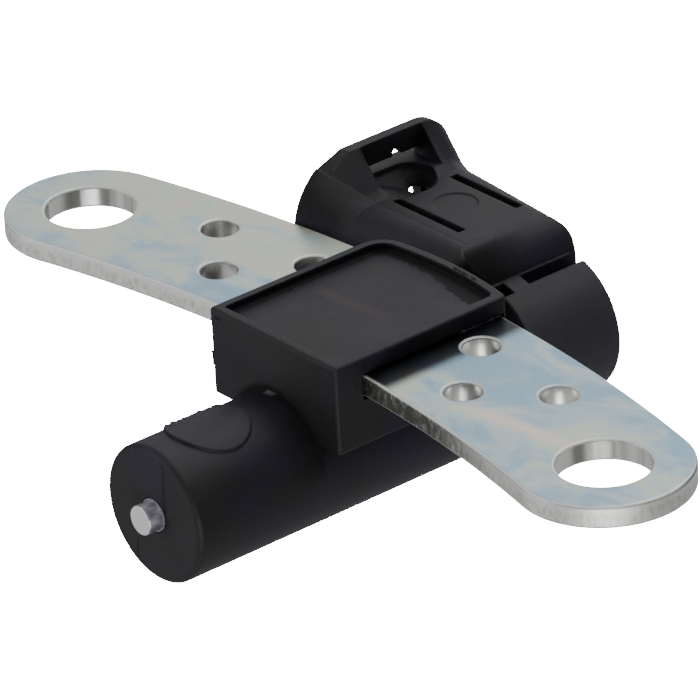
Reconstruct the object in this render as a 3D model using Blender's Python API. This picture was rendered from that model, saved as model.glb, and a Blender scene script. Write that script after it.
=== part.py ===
# Crankshaft position sensor on a curved bracket strip.
#
# Frame: the origin lies midway between the two bolt holes, on the top face of the strip.
# X runs along the strip, Y runs from the sensing tip to the connector, Z is up.
# Every length below is in millimetres and is turned into metres where a mesh is made.

import math

import bmesh
import bpy
from mathutils import Vector

MM = 0.001
GAP = 0.3  # clearance kept between two pieces that touch
OVER = 1.0  # how far a cutter runs past the face that it opens

# Small fillets that several cuts share
TINY_R = 0.1
SMALL_R = 0.3
SOFT_R = 0.4
ROUND_R = 0.8

# Bracket strip, whose middle line is an arc through the two bolt holes
HOLE_HALF_SPACING = 50.0
BOLT_HOLE_R = 6.0
BOLT_HOLE_RIM = 5.4
BOLT_HOLE_CHAMFER = 0.35
STRIP_HALF_WIDTH = BOLT_HOLE_R + BOLT_HOLE_RIM
STRIP_ARC_R = 212.5
STRIP_T = 3.0
STRIP_EDGE = 0.35
STRIP_ARC_DROP = math.sqrt(STRIP_ARC_R**2 - HOLE_HALF_SPACING**2)
STRIP_MID_Y = STRIP_ARC_R - STRIP_ARC_DROP

# Three small holes in each wing
RIVET_HOLE_R = 2.5
RIVET_HOLE_CHAMFER = 0.25
RIVET_OUTER_IN = 17.0
RIVET_MID_IN = 26.2
RIVET_INNER_IN = 33.7
RIVET_OUTER_X = HOLE_HALF_SPACING - RIVET_OUTER_IN
RIVET_OUTER_Y = 7.9
RIVET_MID_X = HOLE_HALF_SPACING - RIVET_MID_IN
RIVET_MID_Y = 0.2
RIVET_INNER_X = HOLE_HALF_SPACING - RIVET_INNER_IN
RIVET_INNER_Y = 9.7

# Block round the strip
COVER_T = 1.15
POCKET_DEPTH = 1.15
POCKET_EDGE = 0.25
BLOCK_HALF_X = 12.3
BLOCK_SHIFT_X = -0.3
BLOCK_FRONT_WALL = 4.97
BLOCK_BACK_WALL = 1.83
BLOCK_BACK_SAG = 1.3
BLOCK_FRONT_Y = STRIP_MID_Y - STRIP_HALF_WIDTH - BLOCK_FRONT_WALL
BLOCK_BACK_Y = STRIP_MID_Y + STRIP_HALF_WIDTH + BLOCK_BACK_WALL
BLOCK_TOP_Z = GAP + COVER_T + POCKET_DEPTH
BLOCK_EDGE = 0.45
BLOCK_CORNER_R = 4.0
BLOCK_NIP = 0.6
RIM = 1.35

# Barrel, which hangs under the strip
BARREL_R = 9.25
BARREL_DROP = 2.15
BARREL_TOP_Z = -STRIP_T - BARREL_DROP
BARREL_Z = BARREL_TOP_Z - BARREL_R
BARREL_FRONT_Y = -30.9
BARREL_EDGE = 0.8
BLOCK_LAP = 4.45
BLOCK_BOTTOM_Z = BARREL_TOP_Z - BLOCK_LAP

# Round witness pad on the barrel
PAD_SETBACK = 9.4
PAD_Y = BARREL_FRONT_Y + PAD_SETBACK
PAD_R = 5.4
PAD_RISE = 0.35

# Drum that closes the barrel under the connector
DRUM_SHARE = 1.065
DRUM_RISE = 2.8
DRUM_SETBACK = 5.1
DRUM_LENGTH = 14.4
DRUM_R = DRUM_SHARE * BARREL_R
DRUM_TOP_Z = BARREL_TOP_Z + DRUM_RISE
DRUM_Z = DRUM_TOP_Z - DRUM_R
DRUM_Y0 = BLOCK_BACK_Y + DRUM_SETBACK
DRUM_Y1 = DRUM_Y0 + DRUM_LENGTH
DRUM_EDGE = 0.7
DRUM_FRONT_EDGE = 0.3
BARREL_BACK_Y = DRUM_Y0 + 4.0

# Socket of the connector, which opens at the low end of X
END_X = 1.2
CONNECTOR_LENGTH = 29.0
MOUTH_X = END_X - CONNECTOR_LENGTH
SOCKET_SETBACK = 2.0
SOCKET_WIDTH = 16.4
SOCKET_DEPTH = 14.8
SOCKET_Y0 = BLOCK_BACK_Y + SOCKET_SETBACK
SOCKET_Y1 = SOCKET_Y0 + SOCKET_WIDTH
SOCKET_END_X = MOUTH_X + SOCKET_DEPTH
SOCKET_FOOT_R = 3.0
SOCKET_TOP_R = 1.2
TONGUE_T = 2.3
FRONT_WALL_X = MOUTH_X + 1.2

# Shell round the socket: low, wide body and a flared mouth
SHELL_TOP_Z = 2.0
SHELL_HEIGHT = 13.6
SHELL_BOTTOM_Z = SHELL_TOP_Z - SHELL_HEIGHT
SHELL_FOOT_R = 4.5
SHELL_WALL = 1.7
END_ROUND = 5.4
MOUTH_NEAR_WALL = 5.25
MOUTH_FAR_WALL = 3.8
END_FAR_WALL = 1.3
MOUTH_NEAR_Y = SOCKET_Y0 - MOUTH_NEAR_WALL
MOUTH_FAR_Y = SOCKET_Y1 + MOUTH_FAR_WALL
END_FAR_Y = SOCKET_Y1 + END_FAR_WALL
FAR_R_MOUTH = 4.6
FAR_R_BODY = 3.0
SIDE_MOUTH_Y = SOCKET_Y0 + 4.2
SIDE_BODY_Y = SOCKET_Y0 + 3.2
SIDE_MOUTH_Z = SHELL_TOP_Z - 4.1
SIDE_FOOT_Z = SHELL_TOP_Z - 6.3
SIDE_END_Z = SHELL_TOP_Z - 3.2

# Latch bridge over the mouth, with its ramp down to the body
BRIDGE_RISE = 5.4
BAR_T = 1.6
RAMP_LENGTH = 4.4
BRIDGE_TOP_Z = SHELL_TOP_Z + BRIDGE_RISE
BAR_BACK_X = MOUTH_X + BAR_T
RAMP_END_X = BAR_BACK_X + RAMP_LENGTH
RAMP_BLEND = 0.9
CREASE_MOUTH_Y = SOCKET_Y0 - 1.0
CREASE_BODY_Y = SOCKET_Y0 + 3.0
CREASE_MOUTH_Z = BRIDGE_TOP_Z - 1.4
CREASE_BODY_Z = SHELL_TOP_Z - 0.04
CREASE_GROOVE = 0.12
LEDGE_MOUTH_Y = SOCKET_Y0 + 3.2
LEDGE_BODY_Y = SOCKET_Y0 + 3.7

# Sleeve that stands proud of the bridge
SLEEVE_X = MOUTH_X - 1.8
SLEEVE_Y0 = SOCKET_Y0 - 1.8
SLEEVE_Y1 = SOCKET_Y1 + 1.2
SLEEVE_TOP_Z = SHELL_TOP_Z + 0.7
SLEEVE_BOTTOM_Z = SHELL_BOTTOM_Z + 0.6
SLEEVE_FRONT_H = 5.4
SLEEVE_DEPTH = 3.8
SLEEVE_NEAR_R = 3.4
SLEEVE_FAR_R = 1.6
SLEEVE_EDGE = 0.25

# Latch channel, window and the well behind it
BAR_BOTTOM_Z = SLEEVE_TOP_Z + 2.0
WINDOW_END_X = MOUTH_X + 9.1
WINDOW_Y0 = SOCKET_Y0 + 5.1
WINDOW_Y1 = SOCKET_Y1 - 0.8
WINDOW_CORNER_R = 3.0
WELL_Y1 = WINDOW_Y1 - 1.5
WELL_FRONT_R = 3.2
WELL_CORNER_R = 4.2
KEY_Y0 = SOCKET_Y1 - 3.8
KEY_Y1 = SOCKET_Y1 - 1.0
KEY_RISE = 1.2
RELIEF_Y0 = KEY_Y0 - 2.2
RELIEF_Y1 = KEY_Y0
RELIEF_RISE = 0.9

# Slots beside the tongue and the round gate mark between them
SLOT_W = 1.3
SLOT_END_X = END_X - 7.8
SLOT_NEAR_Y = WINDOW_Y0 + 0.3
SLOT_FAR_Y = WINDOW_Y1 - 0.4
SLOT_DEPTH = 3.0
MARK_X = WINDOW_END_X + 5.3
MARK_Y = WINDOW_Y0 + 5.0
MARK_R = 3.0
MARK_DEPTH = 0.12

# Recess and pit moulded at the foot of the connector
RECESS_X0 = END_X + 0.2
RECESS_X1 = END_X + 2.1
RECESS_Y0 = DRUM_Y0 + 4.7
RECESS_Y1 = DRUM_Y1 + OVER
RECESS_DEPTH = 2.4
PIT_X0 = END_X + 0.3
PIT_X1 = END_X + 2.5
PIT_Y1 = DRUM_Y0 + 1.9
PIT_DEPTH = 3.2

# Pole pin and the bobbin on it
PIN_SHARE = 0.2162
PIN_R = PIN_SHARE * BARREL_R
PIN_EDGE = 0.25
PIN_STANDOUT = 2.15
PIN_FRONT_Y = BARREL_FRONT_Y - PIN_STANDOUT
BORE_R = PIN_R + GAP
NOSE_R = BORE_R + 0.6
NOSE_FRONT_Y = BARREL_FRONT_Y + 1.2
TUBE_R = BORE_R + 0.9
FLANGE_SHARE = 0.7135
FLANGE_R = FLANGE_SHARE * BARREL_R
FLANGE_T = 1.2
BARREL_END_WALL = 2.5
COIL_LENGTH = 20.4
FLANGE_FRONT_Y = BARREL_FRONT_Y + BARREL_END_WALL
FLANGE_BACK_Y = FLANGE_FRONT_Y + COIL_LENGTH
PIN_BACK_Y = FLANGE_BACK_Y - 0.2

# Winding, its two tails and the magnet
WINDING_SHARE = 0.6378
WINDING_R = WINDING_SHARE * BARREL_R
TAIL_R = 0.3
TAIL_INSET = 0.45
MAGNET_R = 2.0 * PIN_R
MAGNET_EDGE = 0.3
MAGNET_FRONT_Y = PIN_BACK_Y + GAP
MAGNET_LENGTH = 8.5
MAGNET_BACK_Y = MAGNET_FRONT_Y + MAGNET_LENGTH

# Terminals
BLADE_T = 0.8
BLADE_H = 2.3
BLADE_EDGE = 0.2
BLADE_SETBACK = 5.3
BLADE_DROP = 6.2
BLADE_INSET = 7.0
BLADE_TIP_X = MOUTH_X + BLADE_SETBACK
BLADE_Z = SHELL_TOP_Z - BLADE_DROP
BLADE_NEAR_Y = SOCKET_Y0 + BLADE_INSET
BLADE_PITCH = 5.0
BLADE_YS = (BLADE_NEAR_Y, BLADE_NEAR_Y + BLADE_PITCH)
DROP_FAR_X = -0.3
DROP_PITCH = 3.3
DROP_XS = (DROP_FAR_X - DROP_PITCH, DROP_FAR_X)
RUN_Z = BARREL_Z + WINDING_R - BLADE_T / 2.0
RUN_END_Y = FLANGE_BACK_Y + GAP + 0.1
RUN_W = 1.6
NOTCH_SIDE = 0.9
NOTCH_RISE = 0.4


def clear_scene():
    for obj in list(bpy.data.objects):
        bpy.data.objects.remove(obj, do_unlink=True)


def make_material(name, colour, roughness, metallic):
    mat = bpy.data.materials.new(name)
    mat.use_nodes = True
    shader = mat.node_tree.nodes["Principled BSDF"]
    shader.inputs["Base Color"].default_value = (*colour, 1.0)
    shader.inputs["Roughness"].default_value = roughness
    shader.inputs["Metallic"].default_value = metallic
    return mat


def finish_bmesh(bm, name):
    """Turn a bmesh in millimetres into an object in metres with outward faces."""
    bmesh.ops.remove_doubles(bm, verts=bm.verts, dist=1e-4)
    bmesh.ops.recalc_face_normals(bm, faces=bm.faces)
    bmesh.ops.scale(bm, vec=(MM, MM, MM), verts=bm.verts)
    mesh = bpy.data.meshes.new(name)
    bm.to_mesh(mesh)
    bm.free()
    obj = bpy.data.objects.new(name, mesh)
    bpy.context.scene.collection.objects.link(obj)
    return obj


def prism(name, outline, along, low, high):
    """Extrude a closed outline. The outline gives the two axes left over by 'along'."""
    bm = bmesh.new()

    def place(point, height):
        if along == "z":
            return (point[0], point[1], height)
        if along == "y":
            return (point[0], height, point[1])
        return (height, point[0], point[1])

    base = [bm.verts.new(place(point, low)) for point in outline]
    face = bm.faces.new(base)
    grown = bmesh.ops.extrude_face_region(bm, geom=[face])
    verts = [item for item in grown["geom"] if isinstance(item, bmesh.types.BMVert)]
    shift = Vector(place((0.0, 0.0), high - low))
    bmesh.ops.translate(bm, vec=shift, verts=verts)
    return finish_bmesh(bm, name)


def box(name, x0, x1, y0, y1, z0, z1):
    return prism(name, [(x0, y0), (x1, y0), (x1, y1), (x0, y1)], "z", z0, z1)


def spin_y(name, profile, centre_x, centre_z, steps=64):
    """Spin a profile of (radius, y) pairs about a line along Y."""
    bm = bmesh.new()
    verts = [bm.verts.new((centre_x + r, y, centre_z)) for r, y in profile]
    edges = [bm.edges.new((a, b)) for a, b in zip(verts, verts[1:] + verts[:1])]
    if profile[0][0] == 0.0 and profile[-1][0] == 0.0:
        bm.edges.remove(edges.pop())
    bmesh.ops.spin(
        bm,
        geom=verts + edges,
        cent=(centre_x, 0.0, centre_z),
        axis=(0.0, 1.0, 0.0),
        angle=2.0 * math.pi,
        steps=steps,
        use_merge=True,
    )
    # A flat end is one face, not a fan round its middle
    bmesh.ops.remove_doubles(bm, verts=bm.verts, dist=1e-4)
    middles = [v for v in bm.verts if math.hypot(v.co.x - centre_x, v.co.z - centre_z) < 1e-3]
    bmesh.ops.dissolve_verts(bm, verts=middles)
    return finish_bmesh(bm, name)


def loft(name, rings):
    """Skin a list of rings that all have the same number of points, with flat ends."""
    bm = bmesh.new()
    grown = [[bm.verts.new(point) for point in ring] for ring in rings]
    count = len(rings[0])
    for lower, upper in zip(grown, grown[1:]):
        for i in range(count):
            j = (i + 1) % count
            bm.faces.new((lower[i], lower[j], upper[j], upper[i]))
    bm.faces.new(grown[0])
    bm.faces.new(grown[-1])
    return finish_bmesh(bm, name)


def arc(cx, cy, radius, start, end, steps):
    """Points on an arc, angles in degrees."""
    points = []
    for i in range(steps + 1):
        angle = math.radians(start + (end - start) * i / steps)
        points.append((cx + radius * math.cos(angle), cy + radius * math.sin(angle)))
    return points


def rounded_rect(u0, u1, v0, v1, radii, steps=6):
    """Outline with its own radius per corner: low-low, high-low, high-high, low-high."""
    points = []
    points += arc(u0 + radii[0], v0 + radii[0], radii[0], 180, 270, steps)
    points += arc(u1 - radii[1], v0 + radii[1], radii[1], 270, 360, steps)
    points += arc(u1 - radii[2], v1 - radii[2], radii[2], 0, 90, steps)
    points += arc(u0 + radii[3], v1 - radii[3], radii[3], 90, 180, steps)
    return points


def apply_modifiers(obj):
    """Bake the modifiers into the mesh."""
    depsgraph = bpy.context.evaluated_depsgraph_get()
    baked = bpy.data.meshes.new_from_object(obj.evaluated_get(depsgraph))
    obj.modifiers.clear()
    obj.data = baked
    return obj


def bevel(obj, width, segments=2, angle=40.0):
    mod = obj.modifiers.new("Bevel", "BEVEL")
    mod.width = width * MM
    mod.segments = segments
    mod.limit_method = "ANGLE"
    mod.angle_limit = math.radians(angle)
    mod.use_clamp_overlap = True
    return apply_modifiers(obj)


def combine(obj, other, operation):
    """Boolean one object with another and drop the tool."""
    other.hide_render = True
    other.display_type = "WIRE"
    mod = obj.modifiers.new("Boolean", "BOOLEAN")
    mod.operation = operation
    mod.solver = "EXACT"
    mod.object = other
    apply_modifiers(obj)
    bpy.data.objects.remove(other, do_unlink=True)
    return obj


def join(obj, other):
    return combine(obj, other, "UNION")


def cut(obj, other):
    return combine(obj, other, "DIFFERENCE")


def finish_piece(obj, name, mat, angle=32.0):
    """Weld, name, paint and shade one finished piece."""
    bm = bmesh.new()
    bm.from_mesh(obj.data)
    bmesh.ops.remove_doubles(bm, verts=bm.verts, dist=2e-6)
    bmesh.ops.dissolve_degenerate(bm, dist=1e-6, edges=bm.edges)
    bmesh.ops.recalc_face_normals(bm, faces=bm.faces)
    bm.to_mesh(obj.data)
    bm.free()
    obj.name = name
    obj.data.name = name
    obj.data.materials.clear()
    obj.data.materials.append(mat)
    obj.data.shade_smooth()
    obj.data.set_sharp_from_angle(angle=math.radians(angle))
    return obj


def strip_outline(extra=0.0, arc_steps=36, end_steps=18):
    """Plan outline of the bracket strip, grown by 'extra' on every side."""
    half = STRIP_HALF_WIDTH + extra
    lean = math.degrees(math.atan2(HOLE_HALF_SPACING, STRIP_ARC_DROP))
    outer = STRIP_ARC_R + half
    inner = STRIP_ARC_R - half
    points = arc(0.0, -STRIP_ARC_DROP, outer, 90 + lean, 90 - lean, arc_steps)
    points += arc(HOLE_HALF_SPACING, 0.0, half, 90 - lean, -90 - lean, end_steps)[1:-1]
    points += arc(0.0, -STRIP_ARC_DROP, inner, 90 - lean, 90 + lean, arc_steps)
    points += arc(-HOLE_HALF_SPACING, 0.0, half, 270 + lean, 90 + lean, end_steps)[1:-1]
    return points


def disc_tool(name, x, y, radius, z0, z1, steps):
    return prism(name, arc(x, y, radius, 0, 360, steps)[:-1], "z", z0, z1)


def chamfered_hole(x, y, radius, chamfer, steps):
    """Cutter for a hole through the strip with a small chamfer at both faces."""
    low = -STRIP_T
    levels = (
        (low - OVER, radius + chamfer + OVER),
        (low + chamfer, radius),
        (-chamfer, radius),
        (OVER, radius + chamfer + OVER),
    )
    rings = []
    for z, r in levels:
        rings.append([(px, py, z) for px, py in arc(x, y, r, 0, 360, steps)[:-1]])
    return loft("hole_tool", rings)


def build_strip(mat):
    strip = prism("strip", strip_outline(), "z", -STRIP_T, 0.0)
    bevel(strip, STRIP_EDGE, segments=2, angle=50)
    small_holes = (
        (RIVET_OUTER_X, RIVET_OUTER_Y),
        (RIVET_MID_X, RIVET_MID_Y),
        (RIVET_INNER_X, RIVET_INNER_Y),
    )
    for side in (-1, 1):
        bolt_hole = chamfered_hole(side * HOLE_HALF_SPACING, 0.0, BOLT_HOLE_R, BOLT_HOLE_CHAMFER, 48)
        cut(strip, bolt_hole)
        for x, y in small_holes:
            cut(strip, chamfered_hole(side * x, y, RIVET_HOLE_R, RIVET_HOLE_CHAMFER, 28))
    return finish_piece(strip, "bracket_plate", mat)


def block_outline(inset=0.0, side_steps=14):
    """Plan outline of the block, whose back edge is a shallow arc."""
    half = BLOCK_HALF_X - inset
    front = BLOCK_FRONT_Y + inset
    radius = (BLOCK_HALF_X**2 + BLOCK_BACK_SAG**2) / (2.0 * BLOCK_BACK_SAG)
    centre_y = BLOCK_BACK_Y - radius
    back_r = radius - inset

    def back_y(x):
        return centre_y + math.sqrt(back_r**2 - x**2)

    corner = BLOCK_CORNER_R - inset
    points = [(-half, front), (half, front)]
    nip = BLOCK_NIP
    points += [(half, back_y(half) - nip), (half - nip, back_y(half - nip))]
    right = half - 2.0 * nip
    left = -half + corner
    for i in range(side_steps + 1):
        x = right + (left - right) * i / side_steps
        points.append((x, back_y(x)))
    points += arc(left, back_y(left) - corner, corner, 90, 180, 8)[1:]
    return [(x + BLOCK_SHIFT_X, y) for x, y in points]


def build_block():
    block = prism("block", block_outline(), "z", BLOCK_BOTTOM_Z, BLOCK_TOP_Z)
    bevel(block, BLOCK_EDGE, segments=2, angle=50)
    top = BLOCK_TOP_Z
    pocket = prism("pocket", block_outline(RIM), "z", top - POCKET_DEPTH, top + OVER)
    bevel(pocket, POCKET_EDGE, segments=1, angle=50)
    return cut(block, pocket)


def build_barrel():
    end = BARREL_FRONT_Y
    rim = [(0.0, end)]
    rim += [(x, y) for x, y in arc(BARREL_R - BARREL_EDGE, end + BARREL_EDGE, BARREL_EDGE, 270, 360, 5)]
    rim += [(BARREL_R, BARREL_BACK_Y), (0.0, BARREL_BACK_Y)]
    barrel = spin_y("barrel", rim, 0.0, BARREL_Z, steps=72)
    pad_shell = spin_y(
        "pad",
        [
            (0.0, PAD_Y - PAD_R - OVER),
            (BARREL_R + PAD_RISE, PAD_Y - PAD_R - OVER),
            (BARREL_R + PAD_RISE, PAD_Y + PAD_R + OVER),
            (0.0, PAD_Y + PAD_R + OVER),
        ],
        0.0,
        BARREL_Z,
        steps=72,
    )
    pad_plan = disc_tool("pad_plan", 0.0, PAD_Y, PAD_R, BARREL_Z, 0.0, 40)
    combine(pad_shell, pad_plan, "INTERSECT")
    return join(barrel, pad_shell)


def build_drum():
    edge = DRUM_EDGE
    lead = DRUM_FRONT_EDGE
    profile = [(0.0, DRUM_Y0)]
    profile += arc(DRUM_R - lead, DRUM_Y0 + lead, lead, 270, 360, 3)
    profile += arc(DRUM_R - edge, DRUM_Y1 - edge, edge, 0, 90, 5)
    profile += [(0.0, DRUM_Y1)]
    return spin_y("drum", profile, 0.0, DRUM_Z, steps=72)


def shell_ring(x):
    """One section of the connector shell in the plane at x.

    The near side is an arc that starts at the crease. Between the crease and the flat top
    lies the sloped cheek of the latch bridge.
    """
    ramp_foot = RAMP_END_X + RAMP_BLEND
    along = (x - MOUTH_X) / (END_X - MOUTH_X)
    down = min(1.0, (x - MOUTH_X) / (ramp_foot - MOUTH_X))
    body = max(0.0, (x - ramp_foot) / (END_X - ramp_foot))
    near_y = MOUTH_NEAR_Y + (SOCKET_Y0 - MOUTH_NEAR_Y) * along
    far_y = MOUTH_FAR_Y + (END_FAR_Y - MOUTH_FAR_Y) * along
    far_r = FAR_R_MOUTH + (FAR_R_BODY - FAR_R_MOUTH) * down
    ledge_y = LEDGE_MOUTH_Y + (LEDGE_BODY_Y - LEDGE_MOUTH_Y) * down
    crease_y = CREASE_MOUTH_Y + (CREASE_BODY_Y - CREASE_MOUTH_Y) * down
    crease_z = CREASE_MOUTH_Z + (CREASE_BODY_Z - CREASE_MOUTH_Z) * down
    centre_y = SIDE_MOUTH_Y + (SIDE_BODY_Y - SIDE_MOUTH_Y) * down
    centre_z = SIDE_MOUTH_Z + (SIDE_FOOT_Z - SIDE_MOUTH_Z) * down + (SIDE_END_Z - SIDE_FOOT_Z) * body
    slope = (BRIDGE_TOP_Z - SHELL_TOP_Z) / (RAMP_END_X - BAR_BACK_X)
    top = min(BRIDGE_TOP_Z, BRIDGE_TOP_Z - slope * (x - BAR_BACK_X))
    if x > RAMP_END_X - RAMP_BLEND:
        top = max(SHELL_TOP_Z, top)

    foot = SHELL_FOOT_R
    low = SHELL_BOTTOM_Z
    points = arc(near_y + foot, low + foot, foot, 180, 270, 5)
    points += arc(far_y - foot, low + foot, foot, 270, 360, 5)
    points += arc(far_y - far_r, top - far_r, far_r, 0, 90, 6)
    points.append((ledge_y, top))
    points.append((crease_y + CREASE_GROOVE, crease_z - CREASE_GROOVE))
    run = centre_y - near_y
    start = math.acos(max(-1.0, min(1.0, (crease_y - centre_y) / run)))
    high = (crease_z - centre_z) / math.sin(start)
    steps = 8
    for i in range(steps + 1):
        angle = start + (math.pi - start) * i / steps
        points.append((centre_y + run * math.cos(angle), centre_z + high * math.sin(angle)))
    return [(x, y, z) for y, z in points]


def build_shell():
    """Connector shell: a flared mouth with the latch bridge, then the plain body."""
    top = SHELL_TOP_Z
    ramp_foot = RAMP_END_X + RAMP_BLEND
    stations = (MOUTH_X, BAR_BACK_X, RAMP_END_X - RAMP_BLEND, ramp_foot, (ramp_foot + END_X) / 2.0, END_X)
    shell = loft("shell", [shell_ring(x) for x in stations])
    low = SHELL_BOTTOM_Z - OVER
    high = BRIDGE_TOP_Z + OVER
    profile = [(MOUTH_X - OVER, low), (END_X, low), (END_X, top - END_ROUND)]
    profile += arc(END_X - END_ROUND, top - END_ROUND, END_ROUND, 0, 90, 10)[1:]
    profile += [(ramp_foot, top), (ramp_foot, high), (MOUTH_X - OVER, high)]
    keep = prism("keep", profile, "y", MOUTH_NEAR_Y - OVER, MOUTH_FAR_Y + OVER)
    combine(shell, keep, "INTERSECT")

    # The sleeve stands a little proud of the latch bridge
    radii = (SHELL_FOOT_R, SHELL_FOOT_R, SLEEVE_FAR_R, SLEEVE_NEAR_R)
    sleeve = rounded_rect(SLEEVE_Y0, SLEEVE_Y1, SLEEVE_BOTTOM_Z, SLEEVE_TOP_Z, radii, steps=5)
    lip = prism("lip", sleeve, "x", SLEEVE_X, SLEEVE_X + SLEEVE_DEPTH)
    bevel(lip, SLEEVE_EDGE, segments=1, angle=50)
    return join(shell, lip)


def cut_socket(housing):
    """Open the socket, the latch channel, the latch window and the slots beside the tongue."""
    low = SHELL_BOTTOM_Z + SHELL_WALL
    mouth_top = SLEEVE_TOP_Z - SLEEVE_FRONT_H
    room_top = SHELL_TOP_Z - TONGUE_T
    mouth_x = SLEEVE_X - OVER
    corner = (SOCKET_FOOT_R, SOCKET_FOOT_R, SOCKET_TOP_R, SOCKET_TOP_R)
    mouth = rounded_rect(SOCKET_Y0, SOCKET_Y1, low, mouth_top, corner, steps=4)
    cut(housing, prism("mouth", mouth, "x", mouth_x, FRONT_WALL_X + SOFT_R))
    sharp_foot = (TINY_R, TINY_R, SOFT_R, SOFT_R)
    key = rounded_rect(KEY_Y0, KEY_Y1, mouth_top - SOCKET_TOP_R, mouth_top + KEY_RISE, sharp_foot, steps=2)
    cut(housing, prism("key", key, "x", mouth_x, FRONT_WALL_X + SOFT_R))
    room = rounded_rect(SOCKET_Y0, SOCKET_Y1, low, room_top, corner, steps=4)
    cut(housing, prism("room", room, "x", FRONT_WALL_X, SOCKET_END_X))

    corner = (SMALL_R, SMALL_R, ROUND_R, ROUND_R)
    channel = rounded_rect(WINDOW_Y0, WINDOW_Y1, SLEEVE_TOP_Z, BAR_BOTTOM_Z, corner, steps=2)
    cut(housing, prism("channel", channel, "x", mouth_x, BAR_BACK_X + SOFT_R))
    relief_top = BAR_BOTTOM_Z + RELIEF_RISE
    relief = rounded_rect(RELIEF_Y0, RELIEF_Y1, BAR_BOTTOM_Z - SOFT_R, relief_top, sharp_foot, steps=2)
    cut(housing, prism("relief", relief, "x", mouth_x, BAR_BACK_X + SOFT_R))
    corner = (SOFT_R, ROUND_R, WINDOW_CORNER_R, SOFT_R)
    window = rounded_rect(BAR_BACK_X, WINDOW_END_X, WINDOW_Y0, WINDOW_Y1, corner, steps=6)
    cut(housing, prism("window", window, "z", SLEEVE_TOP_Z, BRIDGE_TOP_Z + OVER))
    corner = (SOFT_R, ROUND_R, WELL_CORNER_R, WELL_FRONT_R)
    well = rounded_rect(FRONT_WALL_X, WINDOW_END_X, WINDOW_Y0, WELL_Y1, corner, steps=6)
    cut(housing, prism("well", well, "z", room_top - SOFT_R, SLEEVE_TOP_Z + SOFT_R))

    low_z = SHELL_TOP_Z - SLOT_DEPTH
    corner = (TINY_R, SMALL_R, SMALL_R, TINY_R)
    for y in (SLOT_NEAR_Y, SLOT_FAR_Y):
        x0 = WINDOW_END_X - OVER
        y0 = y - SLOT_W / 2.0
        slot = rounded_rect(x0, SLOT_END_X, y0, y0 + SLOT_W, corner, steps=2)
        cut(housing, prism("slot", slot, "z", low_z, SHELL_TOP_Z + OVER))

    mark_z = SHELL_TOP_Z - MARK_DEPTH
    return cut(housing, disc_tool("mark", MARK_X, MARK_Y, MARK_R, mark_z, SHELL_TOP_Z + OVER, 32))


def build_housing(mat):
    housing = build_barrel()
    join(housing, build_drum())
    join(housing, build_shell())
    join(housing, build_block())

    cut_socket(housing)

    # Recess and pit moulded at the foot of the connector
    recess_z = DRUM_TOP_Z - RECESS_DEPTH
    pit_z = DRUM_TOP_Z - PIT_DEPTH
    cut(housing, box("recess", RECESS_X0, RECESS_X1, RECESS_Y0, RECESS_Y1, recess_z, SHELL_TOP_Z))
    cut(housing, box("pit", PIT_X0, PIT_X1, DRUM_Y0 - OVER, PIT_Y1, pit_z, SHELL_TOP_Z))

    # Slot for the bracket strip
    slot = prism("strip_slot", strip_outline(GAP), "z", -STRIP_T - GAP, GAP)
    cut(housing, slot)

    # Room for the bobbin, the pole pin and the magnet
    room = spin_y(
        "coil_room",
        [
            (0.0, PIN_FRONT_Y - OVER),
            (BORE_R, PIN_FRONT_Y - OVER),
            (BORE_R, NOSE_FRONT_Y - GAP),
            (NOSE_R + GAP, NOSE_FRONT_Y - GAP),
            (NOSE_R + GAP, FLANGE_FRONT_Y - GAP),
            (FLANGE_R + GAP, FLANGE_FRONT_Y - GAP),
            (FLANGE_R + GAP, FLANGE_BACK_Y + GAP),
            (MAGNET_R + GAP, FLANGE_BACK_Y + GAP),
            (MAGNET_R + GAP, MAGNET_BACK_Y + GAP),
            (0.0, MAGNET_BACK_Y + GAP),
        ],
        0.0,
        BARREL_Z,
        steps=48,
    )
    cut(housing, room)
    for blade_y, drop_x in zip(BLADE_YS, DROP_XS):
        cut(housing, terminal_solid("terminal_room", blade_y, drop_x, GAP))
    return finish_piece(housing, "housing", mat, angle=20.0)


def terminal_solid(name, blade_y, drop_x, grow):
    """Blade, riser and run of one terminal, grown on every side by 'grow'."""
    t = BLADE_T / 2 + grow
    tip_h = BLADE_H / 2 + grow
    half = RUN_W / 2 + grow
    tip = BLADE_TIP_X - grow
    blade = box(name, tip, drop_x + t, blade_y - t, blade_y + t, BLADE_Z - tip_h, BLADE_Z + tip_h)
    if grow == 0.0:
        bevel(blade, BLADE_EDGE, segments=1, angle=50)
    low = RUN_Z - t
    riser = box(name, drop_x - half, drop_x + half, blade_y - t, blade_y + t, low, BLADE_Z + tip_h)
    run = box(name, drop_x - half, drop_x + half, RUN_END_Y - grow, blade_y + t, low, RUN_Z + t)
    join(blade, riser)
    return join(blade, run)


def build_terminals(mat):
    for label, blade_y, drop_x in zip("ab", BLADE_YS, DROP_XS):
        piece = terminal_solid("terminal", blade_y, drop_x, 0.0)
        finish_piece(piece, "terminal_" + label, mat)


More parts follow.
